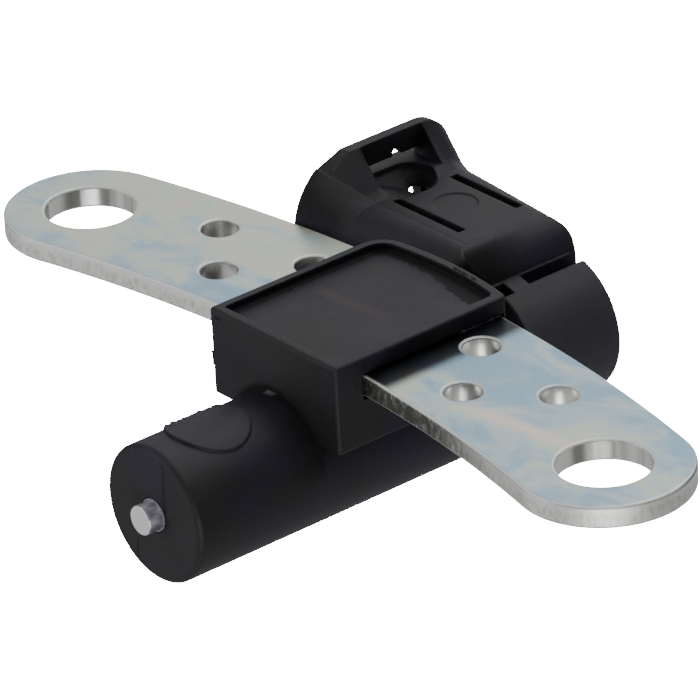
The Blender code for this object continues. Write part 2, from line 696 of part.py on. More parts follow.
def build_core(mat_pin, mat_bobbin, mat_wire, mat_magnet):
    pin = spin_y(
        "pin",
        [
            (0.0, PIN_FRONT_Y),
            (PIN_R - PIN_EDGE, PIN_FRONT_Y),
            (PIN_R, PIN_FRONT_Y + PIN_EDGE),
            (PIN_R, PIN_BACK_Y),
            (0.0, PIN_BACK_Y),
        ],
        0.0,
        BARREL_Z,
        steps=40,
    )
    finish_piece(pin, "pole_pin", mat_pin)

    bobbin = spin_y(
        "bobbin",
        [
            (BORE_R, NOSE_FRONT_Y),
            (NOSE_R, NOSE_FRONT_Y),
            (NOSE_R, FLANGE_FRONT_Y),
            (FLANGE_R, FLANGE_FRONT_Y),
            (FLANGE_R, FLANGE_FRONT_Y + FLANGE_T),
            (TUBE_R, FLANGE_FRONT_Y + FLANGE_T),
            (TUBE_R, FLANGE_BACK_Y - FLANGE_T),
            (FLANGE_R, FLANGE_BACK_Y - FLANGE_T),
            (FLANGE_R, FLANGE_BACK_Y),
            (BORE_R, FLANGE_BACK_Y),
        ],
        0.0,
        BARREL_Z,
        steps=48,
    )
    notch = box(
        "notch",
        DROP_XS[0] - NOTCH_SIDE,
        DROP_XS[1] + NOTCH_SIDE,
        FLANGE_BACK_Y - FLANGE_T - GAP,
        FLANGE_BACK_Y + GAP,
        BARREL_Z + TUBE_R + NOTCH_RISE,
        BARREL_Z + FLANGE_R + OVER,
    )
    cut(bobbin, notch)
    finish_piece(bobbin, "coil_bobbin", mat_bobbin)

    inner = TUBE_R + GAP
    y0 = FLANGE_FRONT_Y + FLANGE_T + GAP
    y1 = FLANGE_BACK_Y - FLANGE_T - GAP
    winding = spin_y(
        "winding",
        [(inner, y0), (WINDING_R, y0), (WINDING_R, y1), (inner, y1)],
        0.0,
        BARREL_Z,
        steps=48,
    )
    for drop_x in DROP_XS:
        tail_z = BARREL_Z + math.sqrt((WINDING_R - TAIL_INSET)**2 - drop_x**2)
        ring = arc(drop_x, tail_z, TAIL_R, 0, 360, 10)[:-1]
        tail = prism("tail", ring, "y", y1 - 2.0 * TAIL_R, RUN_END_Y - GAP)
        join(winding, tail)
    finish_piece(winding, "coil_winding", mat_wire)

    magnet = spin_y(
        "magnet",
        [
            (0.0, MAGNET_FRONT_Y),
            (MAGNET_R - MAGNET_EDGE, MAGNET_FRONT_Y),
            (MAGNET_R, MAGNET_FRONT_Y + MAGNET_EDGE),
            (MAGNET_R, MAGNET_BACK_Y - MAGNET_EDGE),
            (MAGNET_R - MAGNET_EDGE, MAGNET_BACK_Y),
            (0.0, MAGNET_BACK_Y),
        ],
        0.0,
        BARREL_Z,
        steps=40,
    )
    finish_piece(magnet, "magnet", mat_magnet)


def main():
    clear_scene()
    zinc = make_material("zinc_plated_steel", (0.62, 0.65, 0.69), 0.32, 1.0)
    plastic = make_material("black_plastic", (0.018, 0.017, 0.021), 0.52, 0.0)
    steel = make_material("bright_steel", (0.72, 0.72, 0.75), 0.22, 1.0)
    natural = make_material("pale_plastic", (0.55, 0.53, 0.62), 0.45, 0.0)
    copper = make_material("enamelled_copper", (0.55, 0.22, 0.09), 0.38, 1.0)
    ferrite = make_material("dark_magnet", (0.10, 0.10, 0.11), 0.45, 0.6)
    tin = make_material("tinned_brass", (0.66, 0.64, 0.58), 0.28, 1.0)

    build_strip(zinc)
    build_core(steel, natural, copper, ferrite)
    build_terminals(tin)
    build_housing(plastic)


main()
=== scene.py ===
# %% [markdown]
# # A crankshaft position sensor
#
# The part is an inductive speed sensor: a black moulding round a zinc plated steel strip. The
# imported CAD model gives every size. This lesson dresses it, so that a render of it looks like
# the real part under studio light. Blender's scene is in metres. The sizes below are written in
# millimetres, as on a drawing, and MM turns them into metres. The origin lies midway between the
# two bolt holes on the strip's top face.

import math

import bmesh
import bpy
from mathutils import Matrix, Vector


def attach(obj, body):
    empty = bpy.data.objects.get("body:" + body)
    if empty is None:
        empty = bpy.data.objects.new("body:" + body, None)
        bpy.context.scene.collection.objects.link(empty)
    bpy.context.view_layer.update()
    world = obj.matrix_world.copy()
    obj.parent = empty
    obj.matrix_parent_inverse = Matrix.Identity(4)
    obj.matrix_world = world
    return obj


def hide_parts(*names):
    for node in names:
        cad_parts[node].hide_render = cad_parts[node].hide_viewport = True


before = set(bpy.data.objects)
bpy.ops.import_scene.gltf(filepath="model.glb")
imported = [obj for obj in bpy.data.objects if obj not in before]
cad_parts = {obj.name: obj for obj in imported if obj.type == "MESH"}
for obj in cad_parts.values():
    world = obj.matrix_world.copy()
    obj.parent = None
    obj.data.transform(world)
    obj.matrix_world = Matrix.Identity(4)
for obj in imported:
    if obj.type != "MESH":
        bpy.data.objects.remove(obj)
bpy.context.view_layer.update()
MM = 0.001
print("cad nodes:", ", ".join(sorted(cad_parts)))

# %% [markdown]
# ## The camera
#
# A camera can be turned by hand until the picture fits, but that ends a little off. This one was
# solved from the strip's outline and its eight holes, whose plan is known. A long lens far away
# gives the weak perspective of a catalogue photograph. The camera's matrix is built from its own
# three directions: to the right of the picture, up it, and back from it.

# %% Camera
CAMERA_PLACE = Vector((0.64207, -0.51291, 0.42157))
CAMERA_RIGHT = Vector((0.6448333605, 0.7626512377, -0.0505274849))
CAMERA_UP = Vector((-0.3219388139, 0.3309717597, 0.8870248556))
CAMERA_BACK = Vector((0.6932137746, -0.5557164600, 0.4589486669))
LENS_MM = 378.4949
SENSOR_MM = 36.0
FAR_CLIP = 20.0

camera_data = bpy.data.cameras.new("studio_camera")
camera_data.lens = LENS_MM
camera_data.sensor_width = SENSOR_MM
camera_data.clip_end = FAR_CLIP
camera = bpy.data.objects.new("studio_camera", camera_data)
bpy.context.scene.collection.objects.link(camera)
turn = Matrix((CAMERA_RIGHT, CAMERA_UP, CAMERA_BACK)).transposed().to_4x4()
camera.matrix_world = Matrix.Translation(CAMERA_PLACE) @ turn
bpy.context.scene.camera = camera
print("camera distance in m:", round(CAMERA_PLACE.length, 3))

# %% [markdown]
# ## Node trees as formulas
#
# A material can be drawn node by node, but a formula is easier to read. Field wraps one output
# socket, and the operators on it add the Math nodes, so that 1 - mask works as it looks. NodeKit
# adds any other node from its type, its settings and what its sockets get. The same two serve
# materials and Geometry Nodes.


# %% Field: maths on a socket
class Field:
    """One output socket, with Python's operators for its maths."""

    def __init__(self, kit, socket):
        self.kit = kit
        self.socket = socket

    def maths(self, operation, first, second=0.0):
        return self.kit.add("Math", {"operation": operation}, {0: first, 1: second})

    def __add__(self, other):
        return self.maths("ADD", self, other)

    def __radd__(self, other):
        return self.maths("ADD", other, self)

    def __sub__(self, other):
        return self.maths("SUBTRACT", self, other)

    def __rsub__(self, other):
        return self.maths("SUBTRACT", other, self)

    def __mul__(self, other):
        return self.maths("MULTIPLY", self, other)

    def __rmul__(self, other):
        return self.maths("MULTIPLY", other, self)

    def __truediv__(self, other):
        return self.maths("DIVIDE", self, other)

    def __abs__(self):
        return self.maths("ABSOLUTE", self)

    def largest(self, other):
        return self.maths("MAXIMUM", self, other)

    def smallest(self, other):
        return self.maths("MINIMUM", self, other)

    def between(self, low, high):
        """0 at low, 1 at high, smooth in between, and held outside."""
        settings = {"interpolation_type": "SMOOTHSTEP", "clamp": True}
        sockets = {"Value": self, "From Min": low, "From Max": high}
        return self.kit.add("MapRange", settings, sockets)

    def falls(self, low, high):
        """1 at low and 0 at high, the reverse of between."""
        return 1.0 - self.between(low, high)

    def near(self, middle, close, far):
        """1 where the field is less than close from middle, and 0 where it is more than far."""
        return abs(self - middle).falls(close, far)


print("field ready, with masks between, falls and near")


# %% NodeKit: any node in one call
class NodeKit:
    """Adds nodes to one tree, and gives each result back as a field."""

    def __init__(self, tree):
        self.tree = tree

    def feed(self, socket, value):
        """Link a field to a socket, or set its value."""
        if isinstance(value, Field):
            self.tree.links.new(value.socket, socket)
        elif isinstance(value, tuple) and len(value) == 3 and socket.type == "RGBA":
            socket.default_value = (*value, 1.0)
        else:
            socket.default_value = value

    def add(self, kind, settings=None, sockets=None, out=0):
        """Add a node: its settings first, then the values or links of its sockets."""
        own = kind.startswith(("Geometry", "Function"))
        node = self.tree.nodes.new(kind if own else "ShaderNode" + kind)
        for key, value in (settings or {}).items():
            setattr(node, key, value)
        for key, value in (sockets or {}).items():
            # A list feeds one socket several times, as Join Geometry takes it
            for one in value if isinstance(value, list) else [value]:
                self.feed(node.inputs[key], one)
        return Field(self, node.outputs[out])

    def parts(self, vector):
        """The three parts of a vector as fields."""
        node = self.add("SeparateXYZ", sockets={0: vector}).socket.node
        return [Field(self, node.outputs[i]) for i in range(3)]

    def length(self, first, second):
        """How far a point lies from zero, from two of its parts."""
        return self.add("Math", {"operation": "SQRT"}, {0: first * first + second * second})


print("node kit ready, for materials and for geometry")


# %% Finish: one material
class Finish(NodeKit):
    """One material whose surface is a Principled shader."""

    def __init__(self, name):
        self.material = bpy.data.materials.new(name)
        self.material.use_nodes = True
        super().__init__(self.material.node_tree)
        self.shader = self.tree.nodes["Principled BSDF"]

    def set(self, **sockets):
        """Set or link sockets of the surface shader, with _ for each space."""
        for key, value in sockets.items():
            self.feed(self.shader.inputs[key.replace("_", " ")], value)

    def place(self, scale=(1.0, 1.0, 1.0), centre=(0.0, 0.0, 0.0)):
        """Object coordinates in millimetres, counted from a centre and then stretched."""
        here = self.add("TexCoord", out="Object")
        in_mm = self.add("VectorMath", {"operation": "SCALE"}, {0: here, "Scale": 1.0 / MM})
        shifted = self.add("VectorMath", {"operation": "SUBTRACT"}, {0: in_mm, 1: centre})
        return self.add("Mapping", {"vector_type": "POINT"}, {"Vector": shifted, "Scale": scale})

    def facing(self):
        """The three parts of the true surface normal."""
        return self.parts(self.add("NewGeometry", out="True Normal"))

    def noise(self, vector, scale, detail=3.0, roughness=0.55, distortion=0.0):
        """Noise from 0 to 1, with about scale patches to the millimetre."""
        sockets = {
            "Vector": vector,
            "Scale": scale,
            "Detail": detail,
            "Roughness": roughness,
            "Distortion": distortion,
        }
        return self.add("TexNoise", {"noise_dimensions": "3D"}, sockets)

    def blend(self, amount, first, second):
        """Mix two colours."""
        settings = {"data_type": "RGBA", "blend_type": "MIX"}
        node = self.add("Mix", settings, {0: amount}).socket.node
        self.feed(node.inputs[6], first)
        self.feed(node.inputs[7], second)
        return Field(self, node.outputs[2])

    def ramp(self, amount, stops):
        """Colour from a ramp, whose stops are (place, colour) pairs in rising order."""
        coloured = self.add("ValToRGB", sockets={0: amount})
        elements = coloured.socket.node.color_ramp.elements
        for place, colour in stops[1:-1]:
            elements.new(place)
        for element, (place, colour) in zip(elements, stops):
            element.position = place
            element.color = (*colour, 1.0)
        return coloured

    def bump(self, height, distance_mm, strength, under=None):
        """A normal bent by a height, on top of another normal if there is one."""
        sockets = {"Height": height, "Distance": distance_mm * MM, "Strength": strength}
        if under is not None:
            sockets["Normal"] = under
        return self.add("Bump", sockets=sockets)


print("finish ready, for materials")

# %% [markdown]
# ## Floor
#
# The catalogue photograph is taken over a white sweep, so no shadow shows and the ground is pure
# white. A real sweep could be modelled, but its shadow would have to be washed out. Here the
# floor lies well below the part, and a Mix Shader lets it glow for the camera alone. To
# everything else it is pale grey paper, which lights the part a little from below.

# %% Floor
FLOOR_Z = -0.32
FLOOR_HALF = 6.0
WHITE_GLOW = 30.0
WHITE = (1.0, 1.0, 1.0)

corners = [(-FLOOR_HALF, -FLOOR_HALF, FLOOR_Z), (FLOOR_HALF, -FLOOR_HALF, FLOOR_Z)]
corners += [(FLOOR_HALF, FLOOR_HALF, FLOOR_Z), (-FLOOR_HALF, FLOOR_HALF, FLOOR_Z)]
floor_mesh = bpy.data.meshes.new("studio_floor")
floor_mesh.from_pydata(corners, [], [(0, 1, 2, 3)])
floor = bpy.data.objects.new("studio_floor", floor_mesh)
bpy.context.scene.collection.objects.link(floor)
paper = Finish("studio_paper")
paper_mottle = paper.noise(paper.place(), 0.02)
paper.set(
    Base_Color=paper.blend(paper_mottle, (0.40, 0.40, 0.40), (0.44, 0.44, 0.44)),
    Roughness=0.9,
    Emission_Color=WHITE,
    Emission_Strength=0.12,
)
seen = paper.add("LightPath", out="Is Camera Ray")
glow = paper.add("Emission", sockets={"Strength": WHITE_GLOW})
own = Field(paper, paper.shader.outputs[0])
mixed = paper.add("MixShader", sockets={0: seen, 1: own, 2: glow})
paper.feed(paper.tree.nodes["Material Output"].inputs["Surface"], mixed)
floor.data.materials.append(paper.material)
print("floor below the part in mm:", round(-FLOOR_Z / MM))

# %% [markdown]
# ## Light
#
# Plating shows what it mirrors, so the panels are placed by what each face should mirror. Three
# soft panels behind and above are mirrored in the strip's top. Two at the left light the faces
# that look along -Y, one low in front lights the strip's sheared edge, and a weak one behind
# keeps the connector from going black. The world is a dim room that is white to the camera.

# %% Light panels
COOL_WHITE = (0.95, 0.97, 1.0)
PANELS = {
    "sky_panel": ((-0.95, 0.78, 0.72), (1.1, 1.0), 3.6, WHITE),
    "back_panel": ((-0.12, 0.66, 0.92), (0.9, 0.7), 5.2, WHITE),
    "overhead_panel": ((0.20, -0.05, 1.10), (0.8, 0.8), 4.0, WHITE),
    "left_panel": ((-0.55, -0.95, 0.10), (0.7, 0.6), 3.0, COOL_WHITE),
    "left_high_panel": ((-0.75, -0.55, 0.75), (0.7, 0.6), 2.0, WHITE),
    "front_bounce": ((0.60, -0.48, -0.28), (0.45, 0.35), 3.8, WHITE),
    "rear_fill": ((-0.50, 1.00, 0.12), (0.6, 0.5), 1.2, WHITE),
}


def soft_panel(name, place, size, power, colour):
    """A rectangular area light that faces the part."""
    light = bpy.data.lights.new(name, "AREA")
    light.shape = "RECTANGLE"
    light.size, light.size_y = size
    light.energy = power
    light.color = colour
    panel = bpy.data.objects.new(name, light)
    panel.location = place
    panel.rotation_euler = (-Vector(place)).to_track_quat("-Z", "Y").to_euler()
    bpy.context.scene.collection.objects.link(panel)
    return panel


for panel_name, (place, size, power, colour) in PANELS.items():
    soft_panel(panel_name, place, size, power, colour)
print("light panels:", len(PANELS))

# %% The room
ROOM_GLOW = 0.10

world = bpy.data.worlds.new("studio_world")
bpy.context.scene.world = world
world.use_nodes = True
room = world.node_tree
dim = room.nodes["Background"]
dim.inputs["Strength"].default_value = ROOM_GLOW
dim.inputs["Color"].default_value = (*WHITE, 1.0)
bright = room.nodes.new("ShaderNodeBackground")
bright.inputs["Strength"].default_value = WHITE_GLOW
bright.inputs["Color"].default_value = (*WHITE, 1.0)
rays = room.nodes.new("ShaderNodeLightPath")
pick = room.nodes.new("ShaderNodeMixShader")
room.links.new(rays.outputs["Is Camera Ray"], pick.inputs[0])
room.links.new(dim.outputs[0], pick.inputs[1])
room.links.new(bright.outputs[0], pick.inputs[2])
room.links.new(pick.outputs[0], room.nodes["World Output"].inputs["Surface"])
print("room nodes:", len(room.nodes))

# %% [markdown]
# ## Sizes of the strip and the block
#
# These are the CAD model's sizes. The strip is an arc of constant width with round ends. The
# block is moulded round its middle. Both finishes below use them, because a mark on the real
# part lies beside an edge or a hole, and not at some place of its own.

# %% Strip sizes
GAP = 0.3
OVER = 1.0
HOLE_HALF_SPACING = 50.0
BOLT_HOLE_R = 6.0
STRIP_HALF_WIDTH = 11.4
STRIP_ARC_R = 212.5
STRIP_ARC_DROP = math.sqrt(STRIP_ARC_R**2 - HOLE_HALF_SPACING**2)
STRIP_MID_Y = STRIP_ARC_R - STRIP_ARC_DROP
STRIP_T = 3.0
SMALL_HOLE_R = 2.5
SMALL_HOLES = ((33.0, 7.9), (23.8, 0.2), (16.3, 9.7))
STRIP_HOLES = [(side * HOLE_HALF_SPACING, 0.0, BOLT_HOLE_R) for side in (-1, 1)]
STRIP_HOLES += [(side * x, y, SMALL_HOLE_R) for side in (-1, 1) for x, y in SMALL_HOLES]
print("strip holes:", len(STRIP_HOLES))
print("strip middle line at x = 0, y in mm:", round(STRIP_MID_Y, 2))

# %% Block sizes
BLOCK_HALF_X = 12.3
BLOCK_SHIFT_X = -0.3
BLOCK_FRONT_Y = STRIP_MID_Y - STRIP_HALF_WIDTH - 4.97
BLOCK_BACK_Y = STRIP_MID_Y + STRIP_HALF_WIDTH + 1.83
BLOCK_BACK_SAG = 1.3
BLOCK_TOP_Z = 2.6
BLOCK_BOTTOM_Z = -9.6
BLOCK_EDGE = 0.45
BLOCK_CORNER_R = 4.0
BLOCK_NIP = 0.6
RIM = 1.35
POCKET_DEPTH = 1.15
print("block, front to back in mm:", round(BLOCK_BACK_Y - BLOCK_FRONT_Y, 2))

# %% [markdown]
# ## Zinc plate
#
# The strip is blanked from sheet and then plated. Its two faces are smooth, with the soft blue,
# yellow and pink of a thin passivated layer. Its edge is sheared: rougher, greyer and torn into
# small grains. Two materials would need a seam between face and edge. One material does both,
# because the surface normal tells a face from an edge and from the rounded rim between them.
# Beside the block the plating mirrors black plastic, which a soft dark tone there stands for.

# %% Zinc plate: where each part of the surface lies
zinc = Finish("zinc_plate")
spot = zinc.place()
spot_x, spot_y, spot_z = zinc.parts(spot)
# The tilt is 1 on the two faces, 0 on the sheared edge and between them on the rounded rim
tilt = abs(zinc.facing()[2])
edge_mask = tilt.falls(0.15, 0.3)
rim_mask = tilt.between(0.2, 0.35) * tilt.falls(0.93, 0.99)
# The reach is the distance in plan from the wall of the nearest hole
in_plan = zinc.add("CombineXYZ", sockets={"X": spot_x, "Y": spot_y})
reach = None
for hole_x, hole_y, hole_r in STRIP_HOLES:
    centre = (hole_x, hole_y, 0.0)
    away = zinc.add("VectorMath", {"operation": "DISTANCE"}, {0: in_plan, 1: centre}, out=1)
    reach = away - hole_r if reach is None else reach.smallest(away - hole_r)
near_hole = reach.falls(0.25, 0.6)
bore_mask = near_hole * edge_mask
# Where the face beside the block mirrors black plastic, which a painted reflection stands for
from_block = spot_x - (BLOCK_SHIFT_X + BLOCK_HALF_X)
block_reflection = from_block.between(-1.0, 0.0) * from_block.falls(3.2, 5.8) * spot_z.between(-0.6, -0.2)
print("zinc nodes for the masks:", len(zinc.tree.nodes))

# %% Zinc plate: noises
# Drift and cloud tint the film, grain and fleck roughen the face, upright draws the streaks of a
# drilled bore, and shear tears the edge
wide = zinc.place(scale=(1.0, 1.5, 1.0), centre=(9.0, 3.0, 0.0))
drift = zinc.noise(wide, 0.045, detail=3.0, distortion=0.8)
cloud_place = zinc.place(scale=(1.0, 1.3, 1.0))
cloud = zinc.noise(cloud_place, 0.09, detail=5.0, roughness=0.6, distortion=1.2)
grain = zinc.noise(zinc.place(scale=(0.5, 5.0, 5.0)), 0.9, detail=5.0)
fleck = zinc.noise(spot, 1.9, detail=6.0, roughness=0.75)
upright = zinc.noise(zinc.place(scale=(1.0, 1.0, 0.02)), 0.34, detail=1.5, roughness=0.5)
shear = zinc.noise(zinc.place(scale=(1.2, 1.2, 0.6)), 1.1, detail=6.0, roughness=0.75)
print("zinc nodes with the noises:", len(zinc.tree.nodes))

# %% Zinc plate: colours of the face
FILM_STOPS = (
    (0.15, (0.27, 0.41, 0.52)),
    (0.36, (0.39, 0.50, 0.55)),
    (0.52, (0.48, 0.56, 0.52)),
    (0.70, (0.53, 0.575, 0.49)),
    (0.95, (0.57, 0.53, 0.49)),
)
STREAK_X = 27.0
STREAK_Y = -2.2
STREAK_SLOPE = 0.144

film_amount = (cloud - 0.5) * 1.9 + (drift - 0.5) * 1.5 + 0.52 - spot_x.between(-5.0, 20.0) * 0.22
film = zinc.ramp(film_amount, FILM_STOPS)
# A worn streak runs along the strip to the bolt hole at the high end of X
off_streak = spot_y - STREAK_Y - (spot_x - STREAK_X) * STREAK_SLOPE + (drift - 0.5) * 2.0
streak = abs(off_streak).falls(0.3, 1.9) * spot_x.between(25.0, 30.0) * spot_x.falls(43.0, 46.0)
worn = zinc.blend(streak * (0.5 + fleck * 0.7), film, (0.66, 0.59, 0.53))
face_colour = zinc.blend(fleck.between(0.45, 0.8) * 0.30, worn, (0.66, 0.67, 0.66))
# Painted reflection: beside the block the face turns nearly black, for the plastic it mirrors
face_colour = zinc.blend(block_reflection * 0.96, face_colour, (0.012, 0.011, 0.016))
print("film colours:", len(FILM_STOPS))

# %% Zinc plate: colours of the edge, the bores and the rim
# The shear leaves a burnished band at the top and a torn one under it, and beside the block the
# front edge is darkened by a painted reflection of the black moulding and its shade
torn = zinc.blend(shear.between(0.30, 0.62), (0.66, 0.67, 0.61), (0.97, 0.98, 0.92))
burnish = (spot_z + 1.1 + (shear - 0.5) * 2.2).between(-0.35, 0.35)
edge_colour = zinc.blend(burnish * 0.95, torn, (0.98, 0.98, 0.95))
# Painted reflection and shade: the front edge beside the block is darkened
edge_shade = spot_x.between(2.0, 9.0) * spot_x.falls(24.0, 42.0) * spot_y.falls(-6.0, 0.0)
edge_shade_amount = edge_shade * (0.90 - shear.between(0.46, 0.74) * 0.6)
edge_colour = zinc.blend(edge_shade_amount, edge_colour, (0.12, 0.125, 0.105))
bore_colour = zinc.blend(upright.between(0.40, 0.58), (0.40, 0.40, 0.38), (0.97, 0.97, 0.94))
edge_colour = zinc.blend(bore_mask, edge_colour, bore_colour)
# Painted highlight and shade on the rim: light on the near rim and round the holes, dark on the far rim
far_rim_shade = zinc.facing()[1].between(0.05, 0.30)
outer_rim_light_shade = zinc.blend(far_rim_shade, (0.90, 0.91, 0.86), (0.30, 0.31, 0.30))
rim_colour = zinc.blend(near_hole * 0.9, outer_rim_light_shade, (0.96, 0.96, 0.94))
print("zinc nodes with the colours:", len(zinc.tree.nodes))

# %% Zinc plate: put together
colour = zinc.blend(edge_mask, face_colour, edge_colour)
face_relief = (grain * 0.25 + fleck * 0.22) * (1.0 - bore_mask)
edge_relief = shear * edge_mask * 1.8 * (1.0 - near_hole)
bore_relief = upright * bore_mask * 3.0
mottled = 0.27 + grain * 0.10 + fleck * 0.10
zinc.set(
    Base_Color=zinc.blend(rim_mask, colour, rim_colour),
    Metallic=1.0 - rim_mask * 0.45,
    Roughness=mottled + edge_mask * 0.10 - bore_mask * 0.16 + rim_mask * 0.25,
    Normal=zinc.bump(face_relief + edge_relief + bore_relief, 0.06, 0.5),
)
print("zinc nodes:", len(zinc.tree.nodes))

# %% [markdown]
# ## Sizes of the moulding
#
# The barrel hangs under the strip, the drum closes the back of the barrel, and the connector
# shell leaves to the low end of X. The plastic's marks are placed from these sizes too.

# %% Barrel and drum sizes
BARREL_R = 9.25
BARREL_Z = -14.4
BARREL_FRONT_Y = -30.9
BARREL_EDGE = 0.8
PAD_Y = BARREL_FRONT_Y + 9.4
PAD_R = 5.4
PAD_RISE = 0.35
DRUM_R = 1.065 * BARREL_R
DRUM_TOP_Z = -2.35
DRUM_Z = DRUM_TOP_Z - DRUM_R
DRUM_Y0 = BLOCK_BACK_Y + 5.1
DRUM_Y1 = DRUM_Y0 + 14.4
DRUM_EDGE = 0.7
BARREL_BACK_Y = DRUM_Y0 + 4.0
print("barrel, face to back in mm:", round(BARREL_BACK_Y - BARREL_FRONT_Y, 2))

# %% Connector sizes
END_X = 1.2
MOUTH_X = -27.8
SOCKET_Y0 = BLOCK_BACK_Y + 2.0
SOCKET_Y1 = SOCKET_Y0 + 16.4
SOCKET_END_X = MOUTH_X + 14.8
SHELL_TOP_Z = 2.0
SHELL_BOTTOM_Z = -11.6
SHELL_FOOT_R = 4.5
SHELL_WALL = 1.7
END_ROUND = 5.4
BRIDGE_TOP_Z = SHELL_TOP_Z + 5.4
BAR_BACK_X = MOUTH_X + 1.6
RAMP_END_X = BAR_BACK_X + 4.4
RAMP_BLEND = 0.9
RAMP_FOOT_X = RAMP_END_X + RAMP_BLEND
TONGUE_T = 2.3
SLEEVE_X = MOUTH_X - 1.8
SLEEVE_TOP_Z = SHELL_TOP_Z + 0.7
FRONT_WALL_X = MOUTH_X + 1.2
WINDOW_END_X = MOUTH_X + 9.1
WINDOW_Y0 = SOCKET_Y0 + 5.1
WINDOW_Y1 = SOCKET_Y1 - 0.8
KEY_Y0 = SOCKET_Y1 - 3.8
KEY_Y1 = SOCKET_Y1 - 1.0
print("connector, mouth to end in mm:", round(END_X - MOUTH_X, 2))

# %% [markdown]
# ## Black plastic
#
# Glass filled nylon comes out of the mould a soft black, with a fine grain and a slight sheen
# that changes from patch to patch. Its edges are a little round and rubbed grey. Rounding every
# edge of the mesh would cost many faces, so the Bevel node rounds the normal instead, and how
# far it bends the normal also tells where an edge is.

# %% Black plastic: soft edges
EDGE_SOFTNESS = 0.35
BEVEL_SAMPLES = 4

plastic = Finish("black_moulding")
spot = plastic.place()
spot_x, spot_y, spot_z = plastic.parts(spot)
soft = plastic.add("Bevel", {"samples": BEVEL_SAMPLES}, {"Radius": EDGE_SOFTNESS * MM})
own_normal = plastic.add("NewGeometry", out="True Normal")
bend = plastic.add("VectorMath", {"operation": "DOT_PRODUCT"}, {0: soft, 1: own_normal}, out=1)
edge_wear = bend.falls(0.80, 0.995)
facing_x, facing_y, facing_z = plastic.facing()
side_wall = abs(facing_z).falls(0.25, 0.45)
print("edge softness in mm:", EDGE_SOFTNESS)

# %% Black plastic: noises
mould_grain = plastic.noise(spot, 4.5, detail=5.0, roughness=0.65)
patch = plastic.noise(spot, 0.11, detail=4.0, roughness=0.6, distortion=0.5)
tint = plastic.noise(plastic.place(centre=(40.0, 9.0, 0.0)), 0.07, detail=3.0)
speck = plastic.noise(spot, 1.4, detail=6.0, roughness=0.75).between(0.60, 0.78)
ragged = plastic.noise(spot, 0.9, detail=5.0, roughness=0.65)
print("plastic nodes with the noises:", len(plastic.tree.nodes))

# %% [markdown]
# ## Painted shade on the moulding
#
# In the photograph some places stay darker than the studio makes them: the inner corner where
# the barrel enters the block, the barrel's top just in front of the block, and the round end of
# the connector shell. More lights would spoil the rest, so a mask paints a shade on the plastic there.

# %% Black plastic: painted shade
# Painted shade where the barrel enters the block, and on its top in front of the block
from_axis = plastic.length(spot_x, spot_z - BARREL_Z)
from_front = spot_y - BLOCK_FRONT_Y
join_shade = from_front.near(0.0, 0.3, 1.8) * spot_z.between(BLOCK_BOTTOM_Z - 3.0, BLOCK_BOTTOM_Z)
join_shade = join_shade * from_axis.falls(BARREL_R + 0.2, BARREL_R + 1.3)
edge_wear = edge_wear * (1.0 - join_shade)
on_barrel_top = from_axis.falls(BARREL_R + 0.1, BARREL_R + 0.3) * spot_z.between(BARREL_Z, BARREL_Z + 3.0)
shade_under_block = spot_x.between(0.0, 6.0) * (BLOCK_FRONT_Y - spot_y).falls(0.5, 7.0) * on_barrel_top
join_shade = join_shade.largest(shade_under_block * from_front.falls(0.0, 0.3))

# Painted shade on the round end of the connector shell
end_x = facing_x.between(0.10, 0.60) * spot_x.between(END_X - 5.0, END_X - 3.0)
end_x = end_x * spot_x.falls(END_X + 0.3, END_X + 0.8)
end_y = spot_y.between(BLOCK_BACK_Y, BLOCK_BACK_Y + 1.0) * spot_y.falls(SOCKET_Y0 + 3.0, SOCKET_Y1 - 3.0)
end_shade = end_x * end_y * spot_z.between(SHELL_TOP_Z - 9.0, SHELL_TOP_Z - 7.0)
print("plastic nodes with the dark places:", len(plastic.tree.nodes))

# %% [markdown]
# ## Small marks of the moulding
#
# The barrel's face has two witness lines, thin dark strokes that the tool left. The foot of the
# pocket has a ragged gap with a painted shade along two walls and a faint warm blush, the barrel's
# join has a painted glint, and the drum's side is scuffed. All are too slight to model, so each is a
# mask.

# %% Black plastic: witness lines and painted glint
GLINT_X = -0.8
GLINT_Z = -5.5


def stroke(x0, z0, x1, z1, half_width):
    """A thin line on the barrel's end face, from (x0, z0) to (x1, z1)."""
    slant = (x1 - x0) / (z1 - z0)
    off = abs(spot_x - x0 - (spot_z - z0) * slant)
    low, high = min(z0, z1), max(z0, z1)
    along = spot_z.between(low - 0.3, low) * spot_z.falls(high, high + 0.3)
    on_face = spot_y.falls(BARREL_FRONT_Y + 0.2, BARREL_FRONT_Y + 0.4)
    return off.falls(half_width * 0.4, half_width) * along * on_face


witness = stroke(2.6, -6.6, 2.3, -15.0, 0.34).largest(stroke(-3.4, -19.0, -3.9, -22.8, 0.30))
# A painted glint: a small pale spot at the barrel's join with the block's front
painted_glint = (spot_x + (ragged - 0.5) * 1.5).near(GLINT_X, 0.5, 1.2) * spot_z.near(GLINT_Z, 0.15, 0.55)
painted_glint = painted_glint * from_front.near(0.0, 0.5, 1.1)
scuff = facing_x.between(0.35, 0.75) * spot_y.between(DRUM_Y0 - 0.5, DRUM_Y0 + 0.5)
scuff = scuff * spot_x.between(END_X + 2.0, END_X + 4.0)
print("plastic nodes with the marks:", len(plastic.tree.nodes))

# %% Black plastic: foot of the pocket
POCKET_FLOOR_Z = BLOCK_TOP_Z - POCKET_DEPTH

